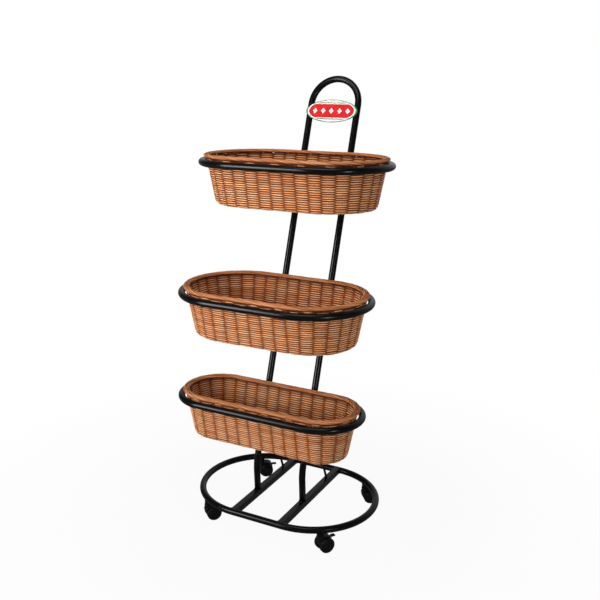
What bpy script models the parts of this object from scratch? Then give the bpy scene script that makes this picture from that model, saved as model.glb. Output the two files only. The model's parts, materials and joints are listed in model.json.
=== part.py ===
# Basket display rack: a leaning tube frame on an oval base with four twin-wheel casters,
# three oval rings that each hold a lift-out wicker basket, and a small oval sign under the arch.
# Units are metres, +Z is up, -Y is the front. The origin is on the floor under the middle of the rack.

import math

import bmesh
import bpy
from mathutils import Matrix, Vector

# Frame tube
TUBE_DIAMETER = 0.022
WELD_GAP = 0.0003
TUBE_BEVEL = 4
ARC_STEPS = 12

# Oval base, measured on the tube's centre line
BASE_LENGTH = 0.612
BASE_DEPTH = 0.428
BASE_UNDERSIDE = 0.064

# Square cross tubes inside the base, level with it
CROSS_TUBE_SIDE = 0.022
CROSS_TUBE_CORNER = 0.0018

# Upright: one tube bent to an inverted U, tilted a little forward at its feet, then leaning back
UPRIGHT_SPACING = 0.172
UPRIGHT_LEAN = math.radians(18.2)
FOOT_AHEAD_OF_BASE = 0.058
FOOT_TILT = math.radians(3.5)
FOOT_BEND_HEIGHT = 0.187
FOOT_BEND_RADIUS = 0.150
FOOT_BEND_STEPS = 4
ARCH_TOP_HEIGHT = 1.437

# Oval basket rings, measured on the tube's centre line
RING_LENGTH = 0.620
UPPER_RING_DEPTH = 0.369
BOTTOM_RING_DEPTH = 0.246
TOP_RING_BELOW_ARCH = 0.255
MIDDLE_RING_BELOW_TOP = 0.396
BOTTOM_RING_HEIGHT = 0.440
UPPER_RING_REACH = 0.039
STUB_DIAMETER = 0.016

# Stay rods from the cross tubes up to the uprights
STAY_DIAMETER = 0.008
STAY_FOOT_BEHIND_UPRIGHT = 0.184
STAY_TOP_HEIGHT = 0.375

# Oval sign and the saddles that seat it on the round uprights
SIGN_WIDTH = 0.188
SIGN_HEIGHT = 0.077
SIGN_THICKNESS = 0.003
SIGN_BELOW_ARCH = 0.108
SIGN_POINTS = 48
SADDLE_WIDTH = 0.012
SADDLE_HEIGHT = 0.014
SADDLE_WEB = 0.002
SADDLE_WRAP = 0.003

# Wicker baskets: rolled border, woven wall that turns under, and oval base
BORDER_DIAMETER = 0.022
BORDER_SEAT_ANGLE = math.radians(45)
BORDER_BEVEL = 3
WALL_SETBACK = 0.0098
WALL_THICKNESS = 0.008
WALL_BETWEEN_STAKES = 0.0044
WALL_TAPER = math.radians(11)
WALL_TURN_RADIUS = 0.016
WALL_TURN_STEPS = 3
BASKET_DEPTH_BELOW_RING = 0.132

# Upright stakes of each basket: along a straight side, and round an end
STAKES = {
    "top": (6, 12),
    "middle": (6, 12),
    "bottom": (9, 7),
}

# Twin-wheel casters
CASTER_RING_ANGLE = math.radians(56.5)
CASTER_TRAIL = 0.0165
WHEEL_DIAMETER = 0.050
WHEEL_WIDTH = 0.020
WHEEL_SPACING = 0.013
WHEEL_STEPS = 24
WHEEL_EDGE = 0.0012
WHEEL_DOME = 0.0055
AXLE_DIAMETER = 0.006
AXLE_SEAT_DEPTH = 0.0125
AXLE_END_PLAY = 0.0005
RUNNING_GAP = 0.0002
HOOD_WIDTH = 0.030
HOOD_SHELL = 0.0027
HOOD_WHEEL_GAP = 0.0012
HOOD_FRONT_ANGLE = math.radians(165)
HOOD_REAR_ANGLE = math.radians(50)
HOOD_HUB_RADIUS = 0.008
HOOD_ARC_STEPS = 8
BOSS_DIAMETER = 0.022
STEM_DIAMETER = 0.008
STEM_DEPTH_IN_BOSS = 0.018
SOCKET_DIAMETER = 0.022
SOCKET_HEIGHT = 0.004
SWIVEL_GAP = 0.0005
ROUND_SIDES = 16
CUTTER_SIDES = 32

# Brake levers, on one front and one rear caster
BRAKE_PIVOT_RADIUS = 0.0210
BRAKE_PIVOT_ANGLE = math.radians(62)
BRAKE_EYE_RADIUS = 0.0032
BRAKE_NECK_WIDTH = 0.0056
BRAKE_SIDE_GAP = 0.0004
BRAKE_PIN_DIAMETER = 0.0022
BRAKE_PIN_LENGTH = 0.0110
BRAKE_TAB_REACH = 0.012
BRAKE_TAB_WIDTH = 0.014
BRAKE_TAB_LENGTH = 0.016
BRAKE_TAB_THICKNESS = 0.003
BRAKE_SLOT_DEPTH = 0.0045

# How each caster is turned at rest: trailing direction from +Y towards +X, and whether it has a brake
CASTERS = {
    "front_left": (-1, -1, math.radians(40), False),
    "front_right": (1, -1, math.radians(32), True),
    "rear_left": (-1, 1, math.radians(56), True),
    "rear_right": (1, 1, math.radians(52), False),
}

# Values that follow from the sizes above
TUBE_RADIUS = TUBE_DIAMETER / 2
BASE_HEIGHT = BASE_UNDERSIDE + TUBE_RADIUS
TUBE_SIDES = 4 + 2 * TUBE_BEVEL
LEG_X = UPRIGHT_SPACING / 2
SIGN_CENTRE_HEIGHT = ARCH_TOP_HEIGHT - SIGN_BELOW_ARCH
TOP_RING_HEIGHT = ARCH_TOP_HEIGHT - TOP_RING_BELOW_ARCH
MIDDLE_RING_HEIGHT = TOP_RING_HEIGHT - MIDDLE_RING_BELOW_TOP
BOTTOM_RING_REACH = (TUBE_DIAMETER + WELD_GAP) / math.cos(UPRIGHT_LEAN)
BORDER_RADIUS = BORDER_DIAMETER / 2
BORDER_SEAT = TUBE_RADIUS + BORDER_RADIUS + WELD_GAP
BORDER_INSET = BORDER_SEAT * math.cos(BORDER_SEAT_ANGLE)
BORDER_RISE = BORDER_SEAT * math.sin(BORDER_SEAT_ANGLE)
WHEEL_RADIUS = WHEEL_DIAMETER / 2
HOOD_INNER_RADIUS = WHEEL_RADIUS + HOOD_WHEEL_GAP
HOOD_OUTER_RADIUS = HOOD_INNER_RADIUS + HOOD_SHELL
WEB_HALF = WHEEL_SPACING / 2 - 0.0007
SOCKET_BOTTOM = BASE_UNDERSIDE - SOCKET_HEIGHT
HOOD_TOP = SOCKET_BOTTOM - SWIVEL_GAP

# Each ring: height, depth and the distance from its rear run to the upright, centre line to centre line
RINGS = {
    "top": (TOP_RING_HEIGHT, UPPER_RING_DEPTH, UPPER_RING_REACH),
    "middle": (MIDDLE_RING_HEIGHT, UPPER_RING_DEPTH, UPPER_RING_REACH),
    "bottom": (BOTTOM_RING_HEIGHT, BOTTOM_RING_DEPTH, BOTTOM_RING_REACH),
}


def lean_offset(height):
    # How far the upright's leaning run is behind its foot at a height
    corner = -math.tan(FOOT_TILT) * (FOOT_BEND_HEIGHT - BASE_HEIGHT)
    return corner + math.tan(UPRIGHT_LEAN) * (height - FOOT_BEND_HEIGHT)


def foot_y():
    # The foot's place that puts the middle of the rack's depth at y = 0
    fronts = [FOOT_AHEAD_OF_BASE - BASE_DEPTH / 2]
    for height, depth, reach in RINGS.values():
        fronts.append(lean_offset(height) - reach - depth)
    return -(min(fronts) + lean_offset(ARCH_TOP_HEIGHT)) / 2


FOOT_Y = foot_y()
BASE_Y = FOOT_Y + FOOT_AHEAD_OF_BASE


def upright_y(height):
    return FOOT_Y + lean_offset(height)


def ring_y(name):
    height, depth, reach = RINGS[name]
    return upright_y(height) - reach - depth / 2


# Helpers


def clear_scene():
    for scene_object in list(bpy.data.objects):
        bpy.data.objects.remove(scene_object, do_unlink=True)


def make_collection(name):
    collection = bpy.data.collections.new(name)
    bpy.context.scene.collection.children.link(collection)
    return collection


def make_material(name, colour, roughness, metallic):
    material = bpy.data.materials.new(name)
    material.use_nodes = True
    shader = material.node_tree.nodes["Principled BSDF"]
    shader.inputs["Base Color"].default_value = (*colour, 1.0)
    shader.inputs["Roughness"].default_value = roughness
    shader.inputs["Metallic"].default_value = metallic
    return material


def finish_part(part, collection, material, parent=None):
    collection.objects.link(part)
    part.data.materials.append(material)
    part.parent = parent
    return part


def make_guide(guide, collection):
    collection.objects.link(guide)
    guide.hide_render = True
    guide.display_type = "WIRE"
    return guide


def poly_curve(name, points, cyclic, dimensions="3D"):
    data = bpy.data.curves.new(name, "CURVE")
    data.dimensions = dimensions
    spline = data.splines.new("POLY")
    spline.points.add(len(points) - 1)
    for point, position in zip(spline.points, points):
        point.co = (*position, 1.0)
    spline.use_cyclic_u = cyclic
    return data


def make_tube(name, points, diameter, cyclic=False, bevel=TUBE_BEVEL):
    data = poly_curve(name, points, cyclic)
    data.bevel_depth = diameter / 2
    data.bevel_resolution = bevel
    data.use_fill_caps = not cyclic
    return bpy.data.objects.new(name, data)


def make_plate(name, outline, thickness):
    data = poly_curve(name, [(*point, 0.0) for point in outline], True, "2D")
    data.fill_mode = "BOTH"
    data.extrude = thickness / 2
    return bpy.data.objects.new(name, data)


def to_mesh(source):
    # A welded mesh object in place of a curve, or of a mesh with modifiers
    scene_objects = bpy.context.scene.collection.objects
    scene_objects.link(source)
    bpy.context.view_layer.update()
    evaluated = source.evaluated_get(bpy.context.evaluated_depsgraph_get())
    mesh = bpy.data.meshes.new_from_object(evaluated)
    matrix = source.matrix_world.copy()
    name = source.name
    bpy.data.objects.remove(source, do_unlink=True)
    shell = bmesh.new()
    shell.from_mesh(mesh)
    bmesh.ops.remove_doubles(shell, verts=shell.verts, dist=0.00001)
    bmesh.ops.recalc_face_normals(shell, faces=shell.faces)
    shell.to_mesh(mesh)
    shell.free()
    part = bpy.data.objects.new(name, mesh)
    part.matrix_world = matrix
    return part


def smooth(part, angle=math.radians(40)):
    part.data.shade_smooth()
    part.data.set_sharp_from_angle(angle=angle)
    return part


def make_rod(name, start, end, diameter, sides=TUBE_SIDES):
    start = Vector(start)
    end = Vector(end)
    shell = bmesh.new()
    radius = diameter / 2
    bmesh.ops.create_cone(
        shell, cap_ends=True, segments=sides, radius1=radius, radius2=radius, depth=(end - start).length
    )
    mesh = bpy.data.meshes.new(name)
    shell.to_mesh(mesh)
    shell.free()
    rod = bpy.data.objects.new(name, mesh)
    turn = Vector((0, 0, 1)).rotation_difference(end - start)
    rod.matrix_world = Matrix.Translation((start + end) / 2) @ turn.to_matrix().to_4x4()
    return smooth(rod)


def make_box(name, low, high):
    low = Vector(low)
    high = Vector(high)
    shell = bmesh.new()
    bmesh.ops.create_cube(shell, size=1.0)
    bmesh.ops.scale(shell, vec=high - low, verts=shell.verts)
    bmesh.ops.translate(shell, vec=(low + high) / 2, verts=shell.verts)
    mesh = bpy.data.meshes.new(name)
    shell.to_mesh(mesh)
    shell.free()
    return bpy.data.objects.new(name, mesh)


def make_bar(name, start, end, side):
    # A square bar that runs from front to back
    half = Vector((side / 2, 0, side / 2))
    return make_box(name, Vector(start) - half, Vector(end) + half)


def round_edges(part, radius):
    bevel = part.modifiers.new("round_edges", "BEVEL")
    bevel.width = radius
    bevel.segments = 2
    return part


def clear_diameter(diameter, sides, gap=WELD_GAP):
    # A many-sided cutter whose flats still clear a round piece by the gap
    return (diameter + 2 * gap) / math.cos(math.pi / sides)


def cut(part, cutter, operation="DIFFERENCE"):
    modifier = part.modifiers.new(operation.lower() + "_" + cutter.name, "BOOLEAN")
    modifier.operation = operation
    modifier.object = cutter


def oval(length, depth, centre_y, height):
    # Centre line of an oval ring: two straight runs joined by half circles
    radius = depth / 2
    half_straight = length / 2 - radius
    points = []
    for side in (1, -1):
        for step in range(ARC_STEPS + 1):
            angle = math.pi * (step / ARC_STEPS - 0.5)
            x = side * (half_straight + radius * math.cos(angle))
            y = centre_y + side * radius * math.sin(angle)
            points.append((x, y, height))
    return points


def inset_line(points, inset):
    # The oval moved inwards, each corner along the line that halves it, as a swept section moves
    corners = [Vector(point) for point in points]
    moved = []
    for index, corner in enumerate(corners):
        before = (corner - corners[index - 1]).normalized()
        after = (corners[(index + 1) % len(corners)] - corner).normalized()
        along = (before + after).normalized()
        moved.append((corner.x - along.y * inset, corner.y + along.x * inset, corner.z))
    return moved


def oval_half_depth(length, depth, x):
    # Half the oval's depth at a distance x from its middle
    radius = depth / 2
    past_straight = max(0.0, abs(x) - (length / 2 - radius))
    return math.sqrt(radius ** 2 - past_straight ** 2)


def upright_points():
    # Left leg from its foot, round the arch and down the right leg
    bend_length = FOOT_BEND_RADIUS * math.tan((UPRIGHT_LEAN + FOOT_TILT) / 2)
    start_height = FOOT_BEND_HEIGHT - bend_length * math.cos(FOOT_TILT)
    start_y = FOOT_Y - math.tan(FOOT_TILT) * (start_height - BASE_HEIGHT)
    leg = [(FOOT_Y, BASE_HEIGHT)]
    for step in range(FOOT_BEND_STEPS + 1):
        angle = (UPRIGHT_LEAN + FOOT_TILT) * step / FOOT_BEND_STEPS - FOOT_TILT
        y = start_y + FOOT_BEND_RADIUS * (math.cos(FOOT_TILT) - math.cos(angle))
        z = start_height + FOOT_BEND_RADIUS * (math.sin(FOOT_TILT) + math.sin(angle))
        leg.append((y, z))
    points = [(-LEG_X, y, z) for y, z in leg]
    spring_height = ARCH_TOP_HEIGHT - LEG_X * math.cos(UPRIGHT_LEAN)
    for step in range(ARC_STEPS + 1):
        angle = math.pi * step / ARC_STEPS
        height = spring_height + LEG_X * math.sin(angle) * math.cos(UPRIGHT_LEAN)
        points.append((-LEG_X * math.cos(angle), upright_y(height), height))
    points.extend((LEG_X, y, z) for y, z in reversed(leg))
    return points


def leg_cutter(name, x, cutters):
    # Clearance for the leaning run of one upright leg
    low = FOOT_BEND_HEIGHT
    diameter = clear_diameter(TUBE_DIAMETER, CUTTER_SIDES)
    start = (x, upright_y(low), low)
    end = (x, upright_y(ARCH_TOP_HEIGHT), ARCH_TOP_HEIGHT)
    return make_guide(make_rod(name, start, end, diameter, CUTTER_SIDES), cutters)


# Frame


def build_frame(parts, cutters, steel):
    base_line = oval(BASE_LENGTH, BASE_DEPTH, BASE_Y, BASE_HEIGHT)
    finish_part(make_tube("base_ring", base_line, TUBE_DIAMETER, True), parts, steel)
    fat_diameter = clear_diameter(TUBE_DIAMETER, TUBE_SIDES)
    base_clearance = to_mesh(make_tube("base_clearance", base_line, fat_diameter, True))
    make_guide(base_clearance, cutters)

    upright = to_mesh(make_tube("upright_frame", upright_points(), TUBE_DIAMETER))
    finish_part(smooth(upright), parts, steel)
    for side, label in ((-1, "left"), (1, "right")):
        x = side * LEG_X
        half_depth = oval_half_depth(BASE_LENGTH, BASE_DEPTH, x)
        front = (x, BASE_Y - half_depth, BASE_HEIGHT)
        rear = (x, BASE_Y + half_depth, BASE_HEIGHT)
        cross = round_edges(make_bar("cross_tube_" + label, front, rear, CROSS_TUBE_SIDE), CROSS_TUBE_CORNER)
        cut(cross, base_clearance)
        finish_part(cross, parts, steel)

        fat_side = CROSS_TUBE_SIDE + 2 * WELD_GAP
        cross_clearance = make_guide(make_bar("cross_clearance_" + label, front, rear, fat_side), cutters)
        cut(upright, cross_clearance)

        leg_clearance = leg_cutter("leg_clearance_" + label, x, cutters)
        stay_foot = (x, FOOT_Y + STAY_FOOT_BEHIND_UPRIGHT, BASE_HEIGHT)
        stay_top = (x, upright_y(STAY_TOP_HEIGHT), STAY_TOP_HEIGHT)
        stay = make_rod("stay_rod_" + label, stay_foot, stay_top, STAY_DIAMETER, ROUND_SIDES)
        cut(stay, cross_clearance)
        cut(stay, leg_clearance)
        finish_part(stay, parts, steel)

    for name, (height, depth, reach) in RINGS.items():
        ring_line = oval(RING_LENGTH, depth, ring_y(name), height)
        ring = make_tube("basket_ring_" + name, ring_line, TUBE_DIAMETER, True)
        finish_part(ring, parts, steel)
        if name != "bottom":
            build_stubs(name, ring_line, height, depth, parts, cutters, steel)
    return base_clearance


def build_stubs(name, ring_line, height, depth, parts, cutters, steel):
    # Short stubs that carry an upper ring clear of the leaning uprights
    fat_diameter = clear_diameter(TUBE_DIAMETER, TUBE_SIDES)
    ring_clearance = to_mesh(make_tube("ring_clearance_" + name, ring_line, fat_diameter, True))
    make_guide(ring_clearance, cutters)
    for side, label in ((-1, "left"), (1, "right")):
        x = side * LEG_X
        start = (x, ring_y(name) + oval_half_depth(RING_LENGTH, depth, x), height)
        end = (x, upright_y(height), height)
        stub = make_rod("ring_stub_" + name + "_" + label, start, end, STUB_DIAMETER, ROUND_SIDES)
        cut(stub, ring_clearance)
        cut(stub, cutters.objects["leg_clearance_" + label])
        finish_part(stub, parts, steel)


# Sign


def build_sign(parts, cutters, enamel, rubber):
    holder = bpy.data.objects.new("sign_plane", None)
    parts.objects.link(holder)
    holder.location = (0, upright_y(SIGN_CENTRE_HEIGHT), SIGN_CENTRE_HEIGHT)
    holder.rotation_euler = (math.pi / 2 - UPRIGHT_LEAN, 0, 0)

    outline = []
    for step in range(SIGN_POINTS):
        angle = 2 * math.pi * step / SIGN_POINTS
        outline.append((SIGN_WIDTH / 2 * math.cos(angle), SIGN_HEIGHT / 2 * math.sin(angle)))
    saddle_back = TUBE_RADIUS + WELD_GAP - SADDLE_WRAP
    saddle_front = TUBE_RADIUS + WELD_GAP + SADDLE_WEB
    panel = make_plate("sign_panel", outline, SIGN_THICKNESS)
    panel.location = (0, 0, saddle_front + WELD_GAP + SIGN_THICKNESS / 2)
    finish_part(panel, parts, enamel, holder)

    for side, label in ((-1, "left"), (1, "right")):
        middle = side * LEG_X
        low = (middle - SADDLE_WIDTH / 2, -SADDLE_HEIGHT / 2, saddle_back)
        high = (middle + SADDLE_WIDTH / 2, SADDLE_HEIGHT / 2, saddle_front)
        saddle = make_box("sign_saddle_" + label, low, high)
        cut(saddle, cutters.objects["leg_clearance_" + label])
        finish_part(saddle, parts, rubber, holder)


# Baskets


def stake_line(depth, stakes):
    # The ring's oval at every stake and halfway between, from a halfway point: place and outward direction
    along, around = stakes
    radius = depth / 2
    half_straight = RING_LENGTH / 2 - radius
    line = []
    for side in (1, -1):
        for step in range(2 * around):
            angle = math.pi * (step / (2 * around) - 0.5)
            out = Vector((side * math.cos(angle), side * math.sin(angle), 0))
            line.append((Vector((side * half_straight, 0, 0)) + radius * out, out))
        for step in range(2 * along):
            out = Vector((0, side, 0))
            line.append((Vector((side * half_straight * (1 - step / along), 0, 0)) + radius * out, out))
    return line


def wall_section(thinning):
    # Closed section of the woven wall: inset from the ring's centre line, and height from it.
    # The thinning comes off both faces, less and less round the turn, and not at all at the base.
    top = BORDER_RISE - BORDER_RADIUS - WELD_GAP
    outer_top = BORDER_INSET - BORDER_RADIUS + WALL_SETBACK
    turn_height = -BASKET_DEPTH_BELOW_RING + WALL_TURN_RADIUS
    taper_inset = math.tan(WALL_TAPER) * (top - turn_height)
    turn_inset = outer_top + taper_inset + WALL_TURN_RADIUS / math.cos(WALL_TAPER)

    def turn_point(depth, share):
        angle = WALL_TAPER + (math.pi / 2 - WALL_TAPER) * share
        radius = WALL_TURN_RADIUS - depth
        return (turn_inset - radius * math.cos(angle), turn_height - radius * math.sin(angle))

    shares = [step / WALL_TURN_STEPS for step in range(WALL_TURN_STEPS + 1)]
    section = [(outer_top + thinning / math.cos(WALL_TAPER), top)]
    section.extend(turn_point(thinning * (1 - share), share) for share in shares)
    section.extend(turn_point(WALL_THICKNESS - thinning * (1 - share), share) for share in reversed(shares))
    section.append((outer_top + (WALL_THICKNESS - thinning) / math.cos(WALL_TAPER), top))
    return section, turn_inset


def make_wall(name, line):
    # Loft round the oval: the weave stands out over every stake and draws in between two
    swollen, base_inset = wall_section(0.0)
    drawn_in, base_inset = wall_section((WALL_THICKNESS - WALL_BETWEEN_STAKES) / 2)
    shell = bmesh.new()
    loops = []
    for index, (place, out) in enumerate(line):
        section = swollen if index % 2 else drawn_in
        loops.append([shell.verts.new(place - inset * out + Vector((0, 0, rise))) for inset, rise in section])
    for index, loop in enumerate(loops):
        before = loops[index - 1]
        for corner in range(len(loop)):
            shell.faces.new((before[corner - 1], before[corner], loop[corner], loop[corner - 1]))
    bmesh.ops.recalc_face_normals(shell, faces=shell.faces)
    mesh = bpy.data.meshes.new(name)
    shell.to_mesh(mesh)
    shell.free()
    return smooth(bpy.data.objects.new(name, mesh)), base_inset


def build_basket(name, parts, wicker, border_wicker):
    height, depth, reach = RINGS[name]
    centre_y = ring_y(name)
    lift = bpy.data.objects.new("basket_" + name + "_lift", None)
    parts.objects.link(lift)
    lift.location = (0, centre_y, height)

    line = stake_line(depth, STAKES[name])
    wall, base_inset = make_wall("basket_" + name + "_wall", line)
    finish_part(wall, parts, wicker, lift)

    border_line = inset_line(oval(RING_LENGTH, depth, 0, BORDER_RISE), BORDER_INSET)
    border = make_tube("basket_" + name + "_border", border_line, BORDER_DIAMETER, True, BORDER_BEVEL)
    finish_part(border, parts, border_wicker, lift)

    base_line = [place - (base_inset + WELD_GAP) * out for place, out in line]
    base = make_plate("basket_" + name + "_base", [(point.x, point.y) for point in base_line], WALL_THICKNESS)
    base.location = (0, 0, -BASKET_DEPTH_BELOW_RING + WALL_THICKNESS / 2)
    finish_part(base, parts, wicker, lift)


# Casters


def wheel_mesh():
    # Domed wheel turned about its axle, with a blind seat for the axle in its inner face
    tread = WHEEL_RADIUS / math.cos(math.pi / WHEEL_STEPS)
    seat = clear_diameter(AXLE_DIAMETER, WHEEL_STEPS, RUNNING_GAP) / 2
    section = [
        (0.0, WHEEL_WIDTH),
        (0.5 * tread, WHEEL_WIDTH - 0.08 * WHEEL_DOME),
        (0.8 * tread, WHEEL_WIDTH - 0.35 * WHEEL_DOME),
        (tread - WHEEL_EDGE, WHEEL_WIDTH - 0.75 * WHEEL_DOME),
        (tread, WHEEL_WIDTH - WHEEL_DOME),
        (tread, WHEEL_EDGE),
        (tread - WHEEL_EDGE, 0.0),
        (seat, 0.0),
        (seat, AXLE_SEAT_DEPTH),
        (0.0, AXLE_SEAT_DEPTH),
    ]
    half_step = math.pi / WHEEL_STEPS
    shell = bmesh.new()
    verts = []
    for radius, along in section:
        verts.append(shell.verts.new((radius * math.cos(half_step), radius * math.sin(half_step), along)))
    for first, second in zip(verts, verts[1:]):
        shell.edges.new((first, second))
    mesh = bpy.data.meshes.new("wheel_section")
    shell.to_mesh(mesh)
    shell.free()
    source = bpy.data.objects.new("wheel_section", mesh)
    screw = source.modifiers.new("turn", "SCREW")
    screw.steps = WHEEL_STEPS
    screw.render_steps = WHEEL_STEPS
    screw.use_merge_vertices = True
    screw.merge_threshold = 0.00001
    return smooth(to_mesh(source)).data


def side_plate(name, outline, width):
    # A plate with its outline in the caster's upright plane and its thickness across the wheels
    plate = to_mesh(make_plate(name, outline, width))
    plate.data.transform(Matrix(((0, 0, 1, 0), (1, 0, 0, 0), (0, 1, 0, 0), (0, 0, 0, 1))))
    return plate


def about_axle(radius, angle):
    return (CASTER_TRAIL + radius * math.cos(angle), WHEEL_RADIUS + radius * math.sin(angle))


def brake_pivot():
    return about_axle(BRAKE_PIVOT_RADIUS, BRAKE_PIVOT_ANGLE)


def hood_mesh(cutters, label, has_brake):
    # Web between the wheels, with a curved lip over them and a boss for the swivel stem
    outline = []
    for step in range(HOOD_ARC_STEPS + 1):
        angle = HOOD_REAR_ANGLE + (HOOD_FRONT_ANGLE - HOOD_REAR_ANGLE) * step / HOOD_ARC_STEPS
        outline.append(about_axle(HOOD_OUTER_RADIUS, angle))
    for step in range(HOOD_ARC_STEPS // 2 + 1):
        angle = math.pi * (1.1 + 0.85 * step / (HOOD_ARC_STEPS // 2))
        outline.append(about_axle(HOOD_HUB_RADIUS, angle))
    hood = side_plate("hood_" + label, outline, HOOD_WIDTH)

    boss_low = (0, 0, WHEEL_RADIUS + HOOD_HUB_RADIUS)
    boss = make_rod("boss_" + label, boss_low, (0, 0, HOOD_TOP), BOSS_DIAMETER, ROUND_SIDES)
    cut(hood, make_guide(boss, cutters), "UNION")
    far = HOOD_WIDTH + BOSS_DIAMETER
    for side in (-1, 1):
        inner = (side * WEB_HALF, CASTER_TRAIL, WHEEL_RADIUS)
        outer = (side * far, CASTER_TRAIL, WHEEL_RADIUS)
        diameter = 2 * HOOD_INNER_RADIUS / math.cos(math.pi / CUTTER_SIDES)
        well = make_rod("well_%s_%d" % (label, side), inner, outer, diameter, CUTTER_SIDES)
        cut(hood, make_guide(well, cutters))
    stem_hole_low = (0, 0, HOOD_TOP - STEM_DEPTH_IN_BOSS - SWIVEL_GAP)
    stem_hole_diameter = clear_diameter(STEM_DIAMETER, CUTTER_SIDES)
    stem_hole = make_rod(
        "stem_hole_" + label, stem_hole_low, (0, 0, BASE_UNDERSIDE), stem_hole_diameter, CUTTER_SIDES
    )
    cut(hood, make_guide(stem_hole, cutters))
    axle_hole = make_rod(
        "axle_hole_" + label,
        (-far, CASTER_TRAIL, WHEEL_RADIUS),
        (far, CASTER_TRAIL, WHEEL_RADIUS),
        clear_diameter(AXLE_DIAMETER, CUTTER_SIDES),
        CUTTER_SIDES,
    )
    cut(hood, make_guide(axle_hole, cutters))
    if has_brake:
        cut_brake_seat(hood, cutters, label, far)
    mesh = smooth(to_mesh(hood)).data
    mesh.name = "caster_hood_" + label
    return mesh


def cut_brake_seat(hood, cutters, label, far):
    # Slot in the web for the lever's neck, and a cross hole for its pin
    pivot_y, pivot_z = brake_pivot()
    half = BRAKE_NECK_WIDTH / 2 + BRAKE_SIDE_GAP
    low = (-half, pivot_y - BRAKE_SLOT_DEPTH, pivot_z - BRAKE_SLOT_DEPTH)
    high = (half, pivot_y + far, pivot_z + BRAKE_SLOT_DEPTH)
    slot = make_box("brake_slot_" + label, low, high)
    cut(hood, make_guide(slot, cutters))
    hole = make_rod(
        "brake_hole_" + label,
        (-far, pivot_y, pivot_z),
        (far, pivot_y, pivot_z),
        clear_diameter(BRAKE_PIN_DIAMETER, ROUND_SIDES),
        ROUND_SIDES,
    )
    cut(hood, make_guide(hole, cutters))


def brake_mesh(cutters):
    # Lever with a round eye on its pin, a neck through the slot, and a flat foot tab
    half_thick = BRAKE_TAB_THICKNESS / 2
    outline = []
    for step in range(ROUND_SIDES // 2 + 1):
        angle = math.pi * (0.25 + 1.5 * step / (ROUND_SIDES // 2))
        outline.append((BRAKE_EYE_RADIUS * math.cos(angle), BRAKE_EYE_RADIUS * math.sin(angle)))
    neck_end = BRAKE_TAB_REACH + half_thick
    outline.append((neck_end, -0.8 * half_thick))
    outline.append((neck_end, 0.8 * half_thick))
    lever = side_plate("brake_neck", outline, BRAKE_NECK_WIDTH)
    tab_low = (-BRAKE_TAB_WIDTH / 2, BRAKE_TAB_REACH, -half_thick)
    tab_high = (BRAKE_TAB_WIDTH / 2, BRAKE_TAB_REACH + BRAKE_TAB_LENGTH, half_thick)
    tab = make_box("brake_tab", tab_low, tab_high)
    bevel = tab.modifiers.new("round_edges", "BEVEL")
    bevel.width = BRAKE_TAB_THICKNESS / 4
    bevel.segments = 1
    cut(lever, make_guide(tab, cutters), "UNION")
    reach = BRAKE_NECK_WIDTH
    hole_diameter = clear_diameter(BRAKE_PIN_DIAMETER, ROUND_SIDES, RUNNING_GAP)
    hole = make_rod("brake_eye_hole", (-reach, 0, 0), (reach, 0, 0), hole_diameter, ROUND_SIDES)
    cut(lever, make_guide(hole, cutters))
    return smooth(to_mesh(lever)).data


def build_caster(label, wheel, hoods, brake, parts, cutters, base_clearance, coat, steel, plastic):
    side, end, turn, has_brake = CASTERS[label]
    radius = BASE_DEPTH / 2
    x = side * (BASE_LENGTH / 2 - radius + radius * math.cos(CASTER_RING_ANGLE))
    y = BASE_Y + end * radius * math.sin(CASTER_RING_ANGLE)
    swivel = bpy.data.objects.new("caster_swivel_" + label, None)
    parts.objects.link(swivel)
    swivel.location = (x, y, 0)
    swivel.rotation_euler = (0, 0, -turn)

    socket_top = (x, y, BASE_HEIGHT)
    socket_low = (x, y, SOCKET_BOTTOM)
    socket = make_rod("caster_socket_" + label, socket_low, socket_top, SOCKET_DIAMETER, ROUND_SIDES)
    cut(socket, base_clearance)
    stem_hole = make_rod(
        "socket_hole_" + label,
        (x, y, SOCKET_BOTTOM - SOCKET_HEIGHT),
        (x, y, BASE_HEIGHT),
        clear_diameter(STEM_DIAMETER, CUTTER_SIDES),
        CUTTER_SIDES,
    )
    cut(socket, make_guide(stem_hole, cutters))
    finish_part(socket, parts, coat)

    stem_low = (0, 0, HOOD_TOP - STEM_DEPTH_IN_BOSS)
    stem_top = (0, 0, BASE_UNDERSIDE - WELD_GAP)
    stem = make_rod("caster_stem_" + label, stem_low, stem_top, STEM_DIAMETER, ROUND_SIDES)
    finish_part(stem, parts, steel, swivel)

    hood = bpy.data.objects.new("caster_hood_" + label, hoods[has_brake])
    finish_part(hood, parts, plastic, swivel)

    axle_half = WHEEL_SPACING / 2 + AXLE_SEAT_DEPTH - AXLE_END_PLAY
    axle_left = (-axle_half, CASTER_TRAIL, WHEEL_RADIUS)
    axle_right = (axle_half, CASTER_TRAIL, WHEEL_RADIUS)
    axle = make_rod("caster_axle_" + label, axle_left, axle_right, AXLE_DIAMETER, ROUND_SIDES)
    finish_part(axle, parts, steel, swivel)

    for hand, name in ((-1, "left"), (1, "right")):
        wheel_part = bpy.data.objects.new("caster_wheel_%s_%s" % (label, name), wheel)
        wheel_part.location = (hand * WHEEL_SPACING / 2, CASTER_TRAIL, WHEEL_RADIUS)
        wheel_part.rotation_euler = (0, hand * math.pi / 2, 0)
        finish_part(wheel_part, parts, plastic, swivel)

    if has_brake:
        pivot_y, pivot_z = brake_pivot()
        lever = bpy.data.objects.new("brake_lever_" + label, brake)
        lever.location = (0, pivot_y, pivot_z)
        finish_part(lever, parts, plastic, swivel)
        pin_left = (-BRAKE_PIN_LENGTH / 2, pivot_y, pivot_z)
        pin_right = (BRAKE_PIN_LENGTH / 2, pivot_y, pivot_z)
        pin = make_rod("brake_pin_" + label, pin_left, pin_right, BRAKE_PIN_DIAMETER, ROUND_SIDES)
        finish_part(pin, parts, steel, swivel)


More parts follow.
